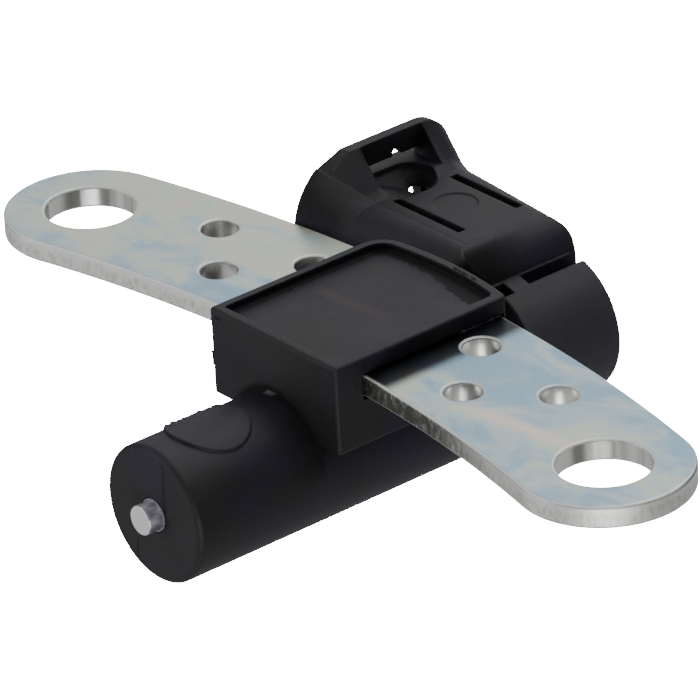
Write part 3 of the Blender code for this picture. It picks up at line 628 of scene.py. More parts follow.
# Painted shade over a bumped gap: on the walls low down, and on the floor beside the left and the back
# wall
from_floor = spot_z - POCKET_FLOOR_Z
on_floor = from_floor.between(-0.25, -0.05) * from_floor.falls(0.05, 0.45)
pocket_wall = side_wall * from_floor.between(-0.05, 0.15) * from_floor.falls(0.55, 0.75)
pocket_wall = pocket_wall * from_front.between(0.5, 0.8)
from_left = spot_x - BLOCK_SHIFT_X + BLOCK_HALF_X - RIM
from_back = BLOCK_BACK_Y - RIM - spot_y - spot_x * spot_x * 0.009
corner_depth = spot_x.between(-6.0, 8.0) * 1.3
from_wall = from_left.smallest(from_back * 0.75 - corner_depth) - ragged * 1.7
pocket_shade = (from_wall.falls(-0.15, 0.15) * on_floor).largest(pocket_wall)
inside = from_left.between(-0.4, -0.2) * spot_x.falls(10.4, 10.7) * from_back.between(-0.5, -0.3)
pocket_shade = pocket_shade * inside
# Warm blush: a faint strip across the floor
blush = (spot_y - spot_x * 0.08).near(4.3, 0.2, 1.4) * on_floor
blush = blush * spot_x.between(-10.0, -6.0) * spot_x.falls(1.0, 6.0) * patch
print("pocket floor, z in mm:", round(POCKET_FLOOR_Z, 2))

# %% Black plastic: colour, gloss and relief
WARM_BLACK = (0.0125, 0.0134, 0.0112)
VIOLET_BLACK = (0.0150, 0.0108, 0.0235)
DEEP_BLACK = (0.001, 0.001, 0.002)

base = plastic.blend(tint.between(0.40, 0.60), WARM_BLACK, VIOLET_BLACK)
base = plastic.blend((patch * 0.7 + speck * 0.4).between(0.25, 0.95), base, (0.025, 0.0225, 0.033))
# Painted shade: faces that look up are darkened towards violet black
base = plastic.blend(facing_z.between(0.80, 0.97) * 0.55, base, (0.002, 0.001, 0.009))
base = plastic.blend(scuff * (0.5 + patch * 0.5), base, (0.040, 0.037, 0.050))
# Painted shade at the barrel's join, on its top in front of the block and on the shell's round end
base = plastic.blend(join_shade.largest(end_shade) * 0.9, base, DEEP_BLACK)
base = plastic.blend(edge_wear * (0.35 + speck * 0.4), base, (0.042, 0.041, 0.047))
base = plastic.blend(blush * 0.8, base, (0.060, 0.022, 0.026))
# Painted glint at the barrel's join
base = plastic.blend(painted_glint * 0.8, base, (0.200, 0.180, 0.220))
dulled = pocket_shade * 0.25 + end_shade * 0.4 + join_shade * 0.3
relief = mould_grain * 0.7 + patch * 1.6 - witness * 3.0 - pocket_shade * 2.0
plastic.set(
    # Witness lines and the painted shade at the pocket's foot go nearly black
    Base_Color=plastic.blend(witness.largest(pocket_shade * 0.85), base, (0.002, 0.002, 0.003)),
    Roughness=0.45 + patch * 0.14 + mould_grain * 0.08 + dulled,
    Specular_IOR_Level=0.36,
    Normal=plastic.bump(relief, 0.05, 0.4, under=soft),
)
print("plastic nodes:", len(plastic.tree.nodes))

# %% [markdown]
# ## Pole pin steel
#
# The pin is ground steel with a turned face that is nearly white in the photograph. The turning
# rings could be an image, but a ping-pong of the distance from the pin's axis draws them at any
# size. The side shows dark streaks, made by stretched noise between a dark and a light steel.

# %% Pole pin steel
RING_STEP = 0.11

steel = Finish("ground_steel")
pin_x, pin_y, pin_z = steel.parts(steel.place(centre=(0.0, 0.0, BARREL_Z)))
face_mask = abs(steel.facing()[1]).between(0.6, 0.9)
rings = steel.add("Math", {"operation": "PINGPONG"}, {0: steel.length(pin_x, pin_z), 1: RING_STEP})
smear = steel.noise(steel.place(scale=(1.0, 0.5, 1.0)), 0.55, detail=5.0)
side_colour = steel.blend(smear.between(0.35, 0.65), (0.26, 0.24, 0.30), (0.80, 0.78, 0.88))
face_colour = steel.blend(smear, (0.84, 0.86, 0.86), (0.97, 0.98, 0.97))
steel.set(
    Base_Color=steel.blend(face_mask, side_colour, face_colour),
    Metallic=0.55 + face_mask * 0.10,
    Roughness=0.42 - face_mask * 0.10 + smear * 0.10,
    Normal=steel.bump(rings * face_mask * 3.0 + smear * 0.3, 0.03, 0.5),
)
print("steel nodes:", len(steel.tree.nodes))

# %% [markdown]
# ## Bobbin plastic
#
# The bobbin is moulded in undyed plastic. Only a thin ring of it shows round the pin's foot, so
# one soft noise is enough to keep it from looking flat.

# %% Bobbin plastic
natural = Finish("natural_plastic")
natural_patch = natural.noise(natural.place(), 0.8)
natural.set(
    Base_Color=natural.blend(natural_patch, (0.26, 0.24, 0.30), (0.44, 0.42, 0.47)),
    Roughness=0.45 + natural_patch * 0.1,
    Normal=natural.bump(natural_patch, 0.02, 0.3),
)
print("bobbin nodes:", len(natural.tree.nodes))

# %% [markdown]
# ## Enamelled copper wire
#
# Clear enamel deepens the copper's colour, and the light runs along each turn. The turns are
# real mesh. A ping-pong along the coil's axis adds a fine band of darker and brighter copper,
# which also covers the plain core under them.

# %% Enamelled copper wire
BAND_STEP = 0.15

copper = Finish("enamelled_copper")
along_coil = copper.parts(copper.place())[1]
wire_turn = copper.add("Math", {"operation": "PINGPONG"}, {0: along_coil, 1: BAND_STEP})
copper.set(
    Base_Color=copper.blend(wire_turn * 5.0, (0.30, 0.09, 0.03), (0.66, 0.27, 0.11)),
    Metallic=1.0,
    Roughness=0.34 + wire_turn,
    Normal=copper.bump(wire_turn * 4.0, 0.1, 0.8),
)
print("copper nodes:", len(copper.tree.nodes))

# %% [markdown]
# ## Magnet
#
# A sintered magnet is dark and slightly porous. Pores are far too many to model, so fine noise
# with many octaves gives them.

# %% Magnet
ferrite = Finish("sintered_magnet")
pore = ferrite.noise(ferrite.place(), 3.5, detail=6.0, roughness=0.7)
ferrite.set(
    Base_Color=ferrite.blend(pore, (0.06, 0.06, 0.065), (0.16, 0.16, 0.17)),
    Metallic=0.6,
    Roughness=0.42 + pore * 0.2,
    Normal=ferrite.bump(pore, 0.05, 0.5),
)
print("magnet nodes:", len(ferrite.tree.nodes))

# %% [markdown]
# ## Tinned brass
#
# The two contacts are stamped from rolled strip and tinned. Noise that is squeezed across the
# blades and stretched along them leaves the fine lines of the rolling.

# %% Tinned brass
tin = Finish("tinned_brass")
rolled = tin.noise(tin.place(scale=(0.4, 4.0, 4.0)), 2.0, detail=4.0)
tin.set(
    Base_Color=tin.blend(rolled, (0.54, 0.52, 0.46), (0.76, 0.74, 0.68)),
    Metallic=1.0,
    Roughness=0.24 + rolled * 0.14,
    Normal=tin.bump(rolled, 0.02, 0.4),
)
print("tin nodes:", len(tin.tree.nodes))

# %% [markdown]
# ## Give each node its finish
#
# The CAD nodes stay where they are and only get a material. The magnet and the contacts are
# plain shapes that hardly show, so their CAD meshes are kept. The other five nodes are replaced
# further on by finer pieces, which get the same finishes.

# %% Give each node its finish
NODE_FINISHES = {
    "bracket_plate": zinc,
    "housing": plastic,
    "pole_pin": steel,
    "coil_bobbin": natural,
    "coil_winding": copper,
    "magnet": ferrite,
    "terminal_a": tin,
    "terminal_b": tin,
}


def dress(obj, finish):
    """Give an object one finish in every slot."""
    obj.data.materials.clear()
    obj.data.materials.append(finish.material)
    for polygon in obj.data.polygons:
        polygon.material_index = 0


for node_name, finish in NODE_FINISHES.items():
    dress(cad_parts[node_name], finish)
print("finishes:", len(NODE_FINISHES))

# %% [markdown]
# ## Tools for solid shapes
#
# The moulding is built the way its tool was cut: simple solids are joined, and others are cut
# out. A prism pushes an outline along one axis, spin_y turns a profile about a line along Y, and
# loft skins a row of sections. The Boolean modifier does the joining and the cutting. It could
# be modelled by hand too, but then no size could be changed afterwards.


# %% Outlines
def arc(cx, cy, radius, start, end, steps):
    """Points on an arc, with angles in degrees."""
    angles = [math.radians(start + (end - start) * i / steps) for i in range(steps + 1)]
    return [(cx + radius * math.cos(a), cy + radius * math.sin(a)) for a in angles]


def rounded_rect(u0, u1, v0, v1, radii, steps=6):
    """Rectangle with its own radius per corner: low-low, high-low, high-high, low-high."""
    points = arc(u0 + radii[0], v0 + radii[0], radii[0], 180, 270, steps)
    points += arc(u1 - radii[1], v0 + radii[1], radii[1], 270, 360, steps)
    points += arc(u1 - radii[2], v1 - radii[2], radii[2], 0, 90, steps)
    points += arc(u0 + radii[3], v1 - radii[3], radii[3], 90, 180, steps)
    return points


print("points of a rounded rectangle:", len(rounded_rect(0.0, 4.0, 0.0, 2.0, (0.5,) * 4)))

# %% Solids
WELD_MM = 1e-4
ON_AXIS_MM = 1e-3


def solid_from(bm, name):
    """Turn a bmesh in millimetres into an object in metres with outward faces."""
    bmesh.ops.remove_doubles(bm, verts=bm.verts, dist=WELD_MM)
    bmesh.ops.recalc_face_normals(bm, faces=bm.faces)
    bmesh.ops.scale(bm, vec=(MM, MM, MM), verts=bm.verts)
    mesh = bpy.data.meshes.new(name)
    bm.to_mesh(mesh)
    bm.free()
    solid = bpy.data.objects.new(name, mesh)
    bpy.context.scene.collection.objects.link(solid)
    return solid


def loft(name, rings):
    """Skin sections that all have the same number of points, and close both ends."""
    bm = bmesh.new()
    grown = [[bm.verts.new(point) for point in ring] for ring in rings]
    count = len(rings[0])
    for lower, upper in zip(grown, grown[1:]):
        for i in range(count):
            j = (i + 1) % count
            bm.faces.new((lower[i], lower[j], upper[j], upper[i]))
    bm.faces.new(grown[0])
    bm.faces.new(grown[-1])
    return solid_from(bm, name)


def prism(name, outline, axis, low, high):
    """Push a closed outline along one axis. It gives the other two coordinates."""

    def at(height):
        if axis == "z":
            return [(u, v, height) for u, v in outline]
        if axis == "y":
            return [(u, height, v) for u, v in outline]
        return [(height, u, v) for u, v in outline]

    return loft(name, [at(low), at(high)])


def brick(name, x0, x1, y0, y1, z0, z1):
    """A box from its limits on each axis."""
    return prism(name, [(x0, y0), (x1, y0), (x1, y1), (x0, y1)], "z", z0, z1)


def spin_y(name, profile, z, steps):
    """Turn a closed profile of (radius, y) pairs about the line x = 0 at height z."""
    bm = bmesh.new()
    verts = [bm.verts.new((radius, y, z)) for radius, y in profile]
    edges = [bm.edges.new(pair) for pair in zip(verts, verts[1:] + verts[:1])]
    bmesh.ops.spin(
        bm,
        geom=verts + edges,
        cent=(0.0, 0.0, z),
        axis=(0.0, 1.0, 0.0),
        angle=2.0 * math.pi,
        steps=steps,
        use_merge=True,
    )
    bmesh.ops.remove_doubles(bm, verts=bm.verts, dist=WELD_MM)
    middles = [v for v in bm.verts if math.hypot(v.co.x, v.co.z - z) < ON_AXIS_MM]
    bmesh.ops.dissolve_verts(bm, verts=middles)
    return solid_from(bm, name)


print("solids ready: loft, prism, brick and spin_y")

# %% Joining, cutting and rounding
SHARP_ANGLE = 50.0
SEAM_WELD = 2e-6


def bake(solid):
    """Turn the modifiers of an object into plain mesh."""
    depsgraph = bpy.context.evaluated_depsgraph_get()
    mesh = bpy.data.meshes.new_from_object(solid.evaluated_get(depsgraph))
    solid.modifiers.clear()
    solid.data = mesh
    return solid


def round_edges(solid, width, segments=3, clamp=True):
    """Round the edges that turn by more than SHARP_ANGLE, by a width in millimetres."""
    rounding = solid.modifiers.new("rounding", "BEVEL")
    rounding.width = width * MM
    rounding.segments = segments
    rounding.limit_method = "ANGLE"
    rounding.angle_limit = math.radians(SHARP_ANGLE)
    rounding.use_clamp_overlap = clamp
    return bake(solid)


def combine(solid, tool, operation):
    """Join, cut or intersect a solid with a tool, and throw the tool away."""
    mixing = solid.modifiers.new("mixing", "BOOLEAN")
    mixing.operation = operation
    mixing.solver = "EXACT"
    mixing.object = tool
    bake(solid)
    bpy.data.objects.remove(tool, do_unlink=True)
    return solid


def join(solid, other):
    return combine(solid, other, "UNION")


def cut(solid, tool):
    return combine(solid, tool, "DIFFERENCE")


def finish_solid(solid, finish, smooth_below):
    """Weld the mesh, turn its faces outward, shade it and give it its material."""
    bm = bmesh.new()
    bm.from_mesh(solid.data)
    bmesh.ops.remove_doubles(bm, verts=bm.verts, dist=SEAM_WELD)
    bmesh.ops.dissolve_degenerate(bm, dist=1e-6, edges=bm.edges)
    bmesh.ops.recalc_face_normals(bm, faces=bm.faces)
    bm.to_mesh(solid.data)
    bm.free()
    dress(solid, finish)
    solid.data.shade_smooth()
    solid.data.set_sharp_from_angle(angle=math.radians(smooth_below))
    return solid


def even_shading(solid, finish, angle=40.0):
    """Close the seams, then keep flat faces flat next to rounded edges."""
    finish_solid(solid, finish, angle)
    evening = solid.modifiers.new("evening", "WEIGHTED_NORMAL")
    evening.weight = 100
    evening.keep_sharp = True
    return bake(solid)


print("solid tools ready: bake, round_edges, join, cut and two ways to shade")

# %% [markdown]
# ## Block
#
# The block is the part of the moulding that holds the strip. Its back edge is a shallow arc and
# its top has a pocket with a thin rim. Both come from one outline: the pocket is the block's own
# outline, drawn a rim's width further in, so that the rim is equally wide all round.


# %% Block
def block_outline(inset=0.0, side_steps=30):
    """Plan outline of the block, whose back edge is a shallow arc."""
    half = BLOCK_HALF_X - inset
    front = BLOCK_FRONT_Y + inset
    radius = (BLOCK_HALF_X**2 + BLOCK_BACK_SAG**2) / (2.0 * BLOCK_BACK_SAG)
    centre_y = BLOCK_BACK_Y - radius

    def back_y(x):
        return centre_y + math.sqrt((radius - inset)**2 - x**2)

    corner = BLOCK_CORNER_R - inset
    points = [(-half, front), (half, front)]
    points += [(half, back_y(half) - BLOCK_NIP), (half - BLOCK_NIP, back_y(half - BLOCK_NIP))]
    right = half - 2.0 * BLOCK_NIP
    left = -half + corner
    back_xs = [right + (left - right) * i / side_steps for i in range(side_steps + 1)]
    points += [(x, back_y(x)) for x in back_xs]
    points += arc(left, back_y(left) - corner, corner, 90, 180, 14)[1:]
    return [(x + BLOCK_SHIFT_X, y) for x, y in points]


block = prism("block", block_outline(), "z", BLOCK_BOTTOM_Z, BLOCK_TOP_Z)
round_edges(block, BLOCK_EDGE)
pocket = prism("pocket", block_outline(RIM), "z", POCKET_FLOOR_Z, BLOCK_TOP_Z + OVER)
round_edges(pocket, EDGE_SOFTNESS, segments=2)
cut(block, pocket)
print("block faces:", len(block.data.polygons))

# %% [markdown]
# ## Barrel and drum
#
# The barrel holds the coil, and the drum closes it at the back. Both are turned shapes, so one
# profile and a spin give each of them. The barrel also carries a round pad on its top that
# follows its curve. A slightly larger barrel, cut to the pad's round plan, has just that shape.

# %% Barrel
barrel_profile = [(0.0, BARREL_FRONT_Y)]
barrel_profile += arc(BARREL_R - BARREL_EDGE, BARREL_FRONT_Y + BARREL_EDGE, BARREL_EDGE, 270, 360, 8)
barrel_profile += [(BARREL_R, BARREL_BACK_Y), (0.0, BARREL_BACK_Y)]
barrel = spin_y("barrel", barrel_profile, BARREL_Z, steps=144)

pad_top_r = BARREL_R + PAD_RISE
pad_y0 = PAD_Y - PAD_R - OVER
pad_y1 = PAD_Y + PAD_R + OVER
pad_profile = [(0.0, pad_y0), (pad_top_r, pad_y0), (pad_top_r, pad_y1), (0.0, pad_y1)]
pad = spin_y("pad", pad_profile, BARREL_Z, steps=144)
pad_plan = arc(0.0, PAD_Y, PAD_R, 0, 360, 72)[:-1]
combine(pad, prism("pad_plan", pad_plan, "z", BARREL_Z, 0.0), "INTERSECT")
join(barrel, pad)
print("barrel faces:", len(barrel.data.polygons))

# %% Drum
DRUM_LEAD = 0.3

drum_profile = [(0.0, DRUM_Y0)]
drum_profile += arc(DRUM_R - DRUM_LEAD, DRUM_Y0 + DRUM_LEAD, DRUM_LEAD, 270, 360, 4)
drum_profile += arc(DRUM_R - DRUM_EDGE, DRUM_Y1 - DRUM_EDGE, DRUM_EDGE, 0, 90, 8)
drum_profile += [(0.0, DRUM_Y1)]
drum = spin_y("drum", drum_profile, DRUM_Z, steps=144)
print("drum faces:", len(drum.data.polygons))

# %% [markdown]
# ## Connector shell
#
# The shell is the hardest shape here. At its mouth it is a wide latch bridge, and towards the
# drum it runs down to a plain body with one rounded shoulder. No single solid has that form, so
# it is a loft: one function draws the section at any x, and every section has the same number
# of points, so that they can be skinned. Afterwards a side outline trims the ramp and the end.

# %% Connector shell
CORNER_R = 4.5
MOUTH_SPREAD_NEAR = 5.25
MOUTH_SPREAD_FAR = 3.8
END_SPREAD_FAR = 1.3
SHOULDER_STEPS = 18


def share(first, last, amount):
    """The value that lies a share of the way from first to last."""
    return first + (last - first) * amount


def shell_section(x):
    """Section of the shell at x: a flared latch bridge that runs down to a plain body."""
    along = (x - MOUTH_X) / (END_X - MOUTH_X)
    past = max(0.0, x - (END_X - CORNER_R))
    inset = CORNER_R - math.sqrt(CORNER_R**2 - past**2)
    down = min(1.0, (x - MOUTH_X) / (RAMP_FOOT_X - MOUTH_X))
    body = max(0.0, (x - RAMP_FOOT_X) / (END_X - RAMP_FOOT_X))
    near_y = share(SOCKET_Y0 - MOUTH_SPREAD_NEAR, SOCKET_Y0, along) + inset
    far_y = share(SOCKET_Y1 + MOUTH_SPREAD_FAR, SOCKET_Y1 + END_SPREAD_FAR, along)
    # Each pair below is the value at the mouth and the value at the plain body
    far_r = share(4.6, 3.0, down)
    ledge_y = share(SOCKET_Y0 + 3.2, SOCKET_Y0 + 3.7, down) + inset
    crease_y = share(SOCKET_Y0 - 1.0, SOCKET_Y0 + 3.0, down) + inset
    crease_z = share(BRIDGE_TOP_Z - 1.4, SHELL_TOP_Z - 0.04, down)
    centre_y = share(SOCKET_Y0 + 4.2, SOCKET_Y0 + 3.2, down) + inset
    centre_z = share(SHELL_TOP_Z - 4.1, SHELL_TOP_Z - 6.3, down) + 3.1 * body
    slope = (BRIDGE_TOP_Z - SHELL_TOP_Z) / (RAMP_END_X - BAR_BACK_X)
    top = min(BRIDGE_TOP_Z, BRIDGE_TOP_Z - slope * (x - BAR_BACK_X))
    if x > RAMP_END_X - RAMP_BLEND:
        top = max(SHELL_TOP_Z, top)

    # Round the section: both feet, the far shoulder, the ledge, and the near shoulder as an ellipse
    foot = SHELL_FOOT_R
    low = SHELL_BOTTOM_Z
    points = arc(near_y + foot, low + foot, foot, 180, 270, 8)
    points += arc(far_y - foot, low + foot, foot, 270, 360, 8)
    points += arc(far_y - far_r, top - far_r, far_r, 0, 90, 12)
    points += [(ledge_y, top), (crease_y + 0.12, crease_z - 0.12)]
    run = centre_y - near_y
    start = math.acos(max(-1.0, min(1.0, (crease_y - centre_y) / run)))
    high = (crease_z - centre_z) / math.sin(start)
    for i in range(SHOULDER_STEPS + 1):
        angle = start + (math.pi - start) * i / SHOULDER_STEPS
        points.append((centre_y + run * math.cos(angle), centre_z + high * math.sin(angle)))
    return [(x, y, z) for y, z in points]


print("points of a section:", len(shell_section(MOUTH_X)))

# %% Skin the shell
middle_x = (RAMP_FOOT_X + END_X) / 2.0
stations = [MOUTH_X, BAR_BACK_X, RAMP_END_X - RAMP_BLEND, RAMP_FOOT_X, middle_x]
corner_angles = [math.radians(9.0 * i) for i in range(11)]
stations += [END_X - CORNER_R * (1.0 - math.sin(angle)) for angle in corner_angles]
shell = loft("shell", [shell_section(x) for x in stations])
low = SHELL_BOTTOM_Z - OVER
high = BRIDGE_TOP_Z + OVER
top = SHELL_TOP_Z
side = [(MOUTH_X - OVER, low), (END_X, low), (END_X, top - END_ROUND)]
side += arc(END_X - END_ROUND, top - END_ROUND, END_ROUND, 0, 90, 20)[1:]
side += [(RAMP_FOOT_X, top), (RAMP_FOOT_X, high), (MOUTH_X - OVER, high)]
keep_y0 = SOCKET_Y0 - MOUTH_SPREAD_NEAR - 1.75
keep_y1 = SOCKET_Y1 + MOUTH_SPREAD_FAR + 1.2
combine(shell, prism("keep", side, "y", keep_y0, keep_y1), "INTERSECT")
print("shell sections and faces:", len(stations), len(shell.data.polygons))

# %% [markdown]
# ## Sleeve
#
# A short sleeve stands proud of the shell's mouth, where the plug slides on. It is a rounded
# rectangle pushed along X and joined to the shell.

# %% Sleeve
SLEEVE_LENGTH = 3.8
SLEEVE_WALL_NEAR = 1.8
SLEEVE_WALL_FAR = 1.2
SLEEVE_RAISE = 0.6
SLEEVE_EDGE = 0.3

sleeve_radii = (SHELL_FOOT_R, SHELL_FOOT_R, 1.6, 3.4)
sleeve_y0, sleeve_y1 = SOCKET_Y0 - SLEEVE_WALL_NEAR, SOCKET_Y1 + SLEEVE_WALL_FAR
sleeve_z0 = SHELL_BOTTOM_Z + SLEEVE_RAISE
sleeve = rounded_rect(sleeve_y0, sleeve_y1, sleeve_z0, SLEEVE_TOP_Z, sleeve_radii, steps=8)
lip = prism("lip", sleeve, "x", SLEEVE_X, SLEEVE_X + SLEEVE_LENGTH)
round_edges(lip, SLEEVE_EDGE, segments=2)
join(shell, lip)
print("shell faces with its sleeve:", len(shell.data.polygons))

# %% [markdown]
# ## Join the outside
#
# The four solids overlap, so joining them leaves one closed skin. Joining comes before cutting,
# because a room that is cut first would be filled again by the next solid.

# %% Join the outside
moulding = barrel
join(moulding, drum)
join(moulding, shell)
join(moulding, block)
print("moulding faces before cutting:", len(moulding.data.polygons))

# %% [markdown]
# ## Socket and latch window
#
# The plug slides into a mouth with a small key groove on its top, and its latch arm runs under
# a bar and snaps up into the window. All of these are straight pulls of the mould, so each one is
# a rounded rectangle pushed through the plastic.

# %% Socket
OVERLAP = 0.4
MOUTH_DROP = 5.4
KEY_HALF = 1.2

low = SHELL_BOTTOM_Z + SHELL_WALL
mouth_top = SLEEVE_TOP_Z - MOUTH_DROP
room_top = SHELL_TOP_Z - TONGUE_T
mouth_x = SLEEVE_X - OVER
mouth_corners = (3.0, 3.0, 1.2, 1.2)
mouth = rounded_rect(SOCKET_Y0, SOCKET_Y1, low, mouth_top, mouth_corners)
cut(moulding, prism("mouth", mouth, "x", mouth_x, FRONT_WALL_X + OVERLAP))
key_corners = (0.1, 0.1, 0.4, 0.4)
key = rounded_rect(KEY_Y0, KEY_Y1, mouth_top - KEY_HALF, mouth_top + KEY_HALF, key_corners, steps=3)
cut(moulding, prism("key", key, "x", mouth_x, FRONT_WALL_X + OVERLAP))
socket_room = rounded_rect(SOCKET_Y0, SOCKET_Y1, low, room_top, mouth_corners)
cut(moulding, prism("room", socket_room, "x", FRONT_WALL_X, SOCKET_END_X))
print("socket, depth in mm:", round(SOCKET_END_X - SLEEVE_X, 2))

# %% Latch channel and window
CHANNEL_HEIGHT = 1.5
RELIEF_RISE = 0.9

bar_bottom = SLEEVE_TOP_Z + CHANNEL_HEIGHT
channel_corners = (0.3, 0.3, 0.7, 0.7)
channel = rounded_rect(WINDOW_Y0, WINDOW_Y1, SLEEVE_TOP_Z, bar_bottom, channel_corners, steps=4)
cut(moulding, prism("channel", channel, "x", mouth_x, BAR_BACK_X + OVERLAP))
relief_corners = (0.1, 0.1, 0.5, 0.5)
relief_y0, relief_y1 = KEY_Y0 - 2.1, KEY_Y0 - 0.5
relief_z0, relief_z1 = bar_bottom - OVERLAP, bar_bottom + RELIEF_RISE
relief = rounded_rect(relief_y0, relief_y1, relief_z0, relief_z1, relief_corners, steps=4)
cut(moulding, prism("relief", relief, "x", mouth_x, BAR_BACK_X + OVERLAP))
window_corners = (0.4, 0.8, 3.0, 0.4)
window = rounded_rect(BAR_BACK_X, WINDOW_END_X, WINDOW_Y0, WINDOW_Y1, window_corners, steps=10)
cut(moulding, prism("window", window, "z", SLEEVE_TOP_Z, BRIDGE_TOP_Z + OVER))
print("window, length in mm:", round(WINDOW_END_X - BAR_BACK_X, 2))

# %% [markdown]
# ## Well of the window
#
# The floor of the window is a dish that narrows to a small hole into the socket, where daylight
# shows through. A loft from the window's outline down to the hole gives both in one solid. Each
# ring goes a share of the way from the outline in to the hole, as DISH_STEPS says.

# %% Well of the window
DISH_HOLE_X = MOUTH_X + 4.6
DISH_HOLE_Y = SOCKET_Y1 - 4.2
DISH_HOLE_R = 1.15
DISH_HOLE_STRETCH = 1.3
DISH_CORNERS = (0.4, 0.8, 4.2, 3.2)
# Each step is a height and the share of the way from the outline in to the hole
DISH_STEPS = ((-0.7, 1.0), (-0.1, 0.97), (0.35, 0.82), (0.9, 0.58), (1.5, 0.30), (2.0, 0.08), (3.1, 0.0))

dish_rim = rounded_rect(FRONT_WALL_X, WINDOW_END_X, WINDOW_Y0, WINDOW_Y1 - 1.5, DISH_CORNERS, steps=10)
dish_rings = []
for z, amount in DISH_STEPS:
    dish_ring = []
    for x, y in dish_rim:
        away_x, away_y = x - DISH_HOLE_X, y - DISH_HOLE_Y
        away = math.hypot(away_x, away_y)
        hole_x = DISH_HOLE_X + DISH_HOLE_R * DISH_HOLE_STRETCH * away_x / away
        hole_y = DISH_HOLE_Y + DISH_HOLE_R * away_y / away
        dish_ring.append((share(x, hole_x, amount), share(y, hole_y, amount), z))
    dish_rings.append(dish_ring)
cut(moulding, loft("well", dish_rings))
print("rings of the well:", len(dish_rings))

# %% [markdown]
# ## Slots, mark and notches
#
# Two long slots free a tongue in the shell's top. A shallow round mark lies on the tongue, and
# two notches lie in the drum's top beside the shell's end. All of them are simple cuts.

# %% Slots, mark and notches
SLOT_HALF = 0.65
SLOT_DEPTH = 3.0
SLOT_FROM_END = 7.8
MARK_R = 3.0
MARK_DEPTH = 0.12

slot_ys = (WINDOW_Y0 + 0.3, WINDOW_Y1 - 0.4)
slot_x0, slot_x1 = WINDOW_END_X - OVER, END_X - SLOT_FROM_END
slot_corners = (0.1, 0.3, 0.3, 0.1)
for y in slot_ys:
    slot = rounded_rect(slot_x0, slot_x1, y - SLOT_HALF, y + SLOT_HALF, slot_corners, steps=4)
    cut(moulding, prism("slot", slot, "z", SHELL_TOP_Z - SLOT_DEPTH, SHELL_TOP_Z + OVER))
mark = arc(WINDOW_END_X + 5.3, WINDOW_Y0 + 5.0, MARK_R, 0, 360, 64)[:-1]
cut(moulding, prism("mark", mark, "z", SHELL_TOP_Z - MARK_DEPTH, SHELL_TOP_Z + OVER))
NOTCHES = {
    "recess": (END_X + 0.2, END_X + 2.1, DRUM_Y0 + 4.7, DRUM_Y1 + OVER, DRUM_TOP_Z - 2.4),
    "pit": (END_X + 0.3, END_X + 2.5, DRUM_Y0 - OVER, DRUM_Y0 + 1.9, DRUM_TOP_Z - 3.2),
}
for notch_name, (x0, x1, y0, y1, notch_z) in NOTCHES.items():
    cut(moulding, brick(notch_name, x0, x1, y0, y1, notch_z, SHELL_TOP_Z))
print("slots and notches:", len(slot_ys) + len(NOTCHES))

# %% [markdown]
# ## Sizes of the coil, the pin and the contacts
#
# What lies inside isn't seen, so these sizes are guesses that a sensor of this kind allows. The
# rooms in the moulding are cut from the same sizes with one gap, so everything fits by rule.

# %% Coil, pin and terminal sizes
PIN_R = 0.2162 * BARREL_R
PIN_FRONT_Y = BARREL_FRONT_Y - 2.15
BORE_R = PIN_R + GAP
NOSE_R = BORE_R + 0.6
NOSE_FRONT_Y = BARREL_FRONT_Y + 1.2
TUBE_R = BORE_R + 0.9
FLANGE_R = 0.7135 * BARREL_R
FLANGE_T = 1.2
FLANGE_FRONT_Y = BARREL_FRONT_Y + 2.5
FLANGE_BACK_Y = FLANGE_FRONT_Y + 20.4
WINDING_R = 0.6378 * BARREL_R
MAGNET_R = 2.0 * PIN_R
MAGNET_BACK_Y = FLANGE_BACK_Y + 8.6
BLADE_T = 0.8
BLADE_H = 2.3
BLADE_Z = SHELL_TOP_Z - 6.2
BLADES = ((SOCKET_Y0 + 7.0, -3.6), (SOCKET_Y0 + 12.0, -0.3))
BLADE_TIP_X = MOUTH_X + 5.3
RUN_Z = BARREL_Z + WINDING_R - BLADE_T / 2.0
RUN_END_Y = FLANGE_BACK_Y + 0.4
RUN_W = 1.6
print("coil, flange to flange in mm:", round(FLANGE_BACK_Y - FLANGE_FRONT_Y, 2))

# %% [markdown]
# ## Rooms inside the moulding
#
# The real plastic flows round the strip and the coil. Here their rooms are cut out instead: the
# strip's own outline grown by the gap, one turned room for pin, bobbin and magnet, and three
# bricks for each contact.


# %% Strip outline and the rooms inside
def strip_outline(extra=0.0, arc_steps=60, end_steps=24):
    """Plan outline of the strip, grown by extra on every side."""
    half = STRIP_HALF_WIDTH + extra
    lean = math.degrees(math.atan2(HOLE_HALF_SPACING, STRIP_ARC_DROP))
    points = arc(0.0, -STRIP_ARC_DROP, STRIP_ARC_R + half, 90 + lean, 90 - lean, arc_steps)
    points += arc(HOLE_HALF_SPACING, 0.0, half, 90 - lean, -90 - lean, end_steps)[1:-1]
    points += arc(0.0, -STRIP_ARC_DROP, STRIP_ARC_R - half, 90 - lean, 90 + lean, arc_steps)
    points += arc(-HOLE_HALF_SPACING, 0.0, half, 270 + lean, 90 + lean, end_steps)[1:-1]
    return points


def terminal_room(blade_y, drop_x):
    """Room for one terminal: its blade, its riser and its run to the coil."""
    thin = BLADE_T / 2.0 + GAP
    tall = BLADE_H / 2.0 + GAP
    half = RUN_W / 2.0 + GAP
    x0, x1 = drop_x - half, drop_x + half
    y0, y1 = blade_y - thin, blade_y + thin
    top = BLADE_Z + tall
    low = RUN_Z - thin
    room = brick("room", BLADE_TIP_X - GAP, drop_x + thin, y0, y1, BLADE_Z - tall, top)
    join(room, brick("riser", x0, x1, y0, y1, low, top))
    return join(room, brick("run", x0, x1, RUN_END_Y - GAP, y1, low, RUN_Z + thin))


print("points of the strip's outline:", len(strip_outline()))

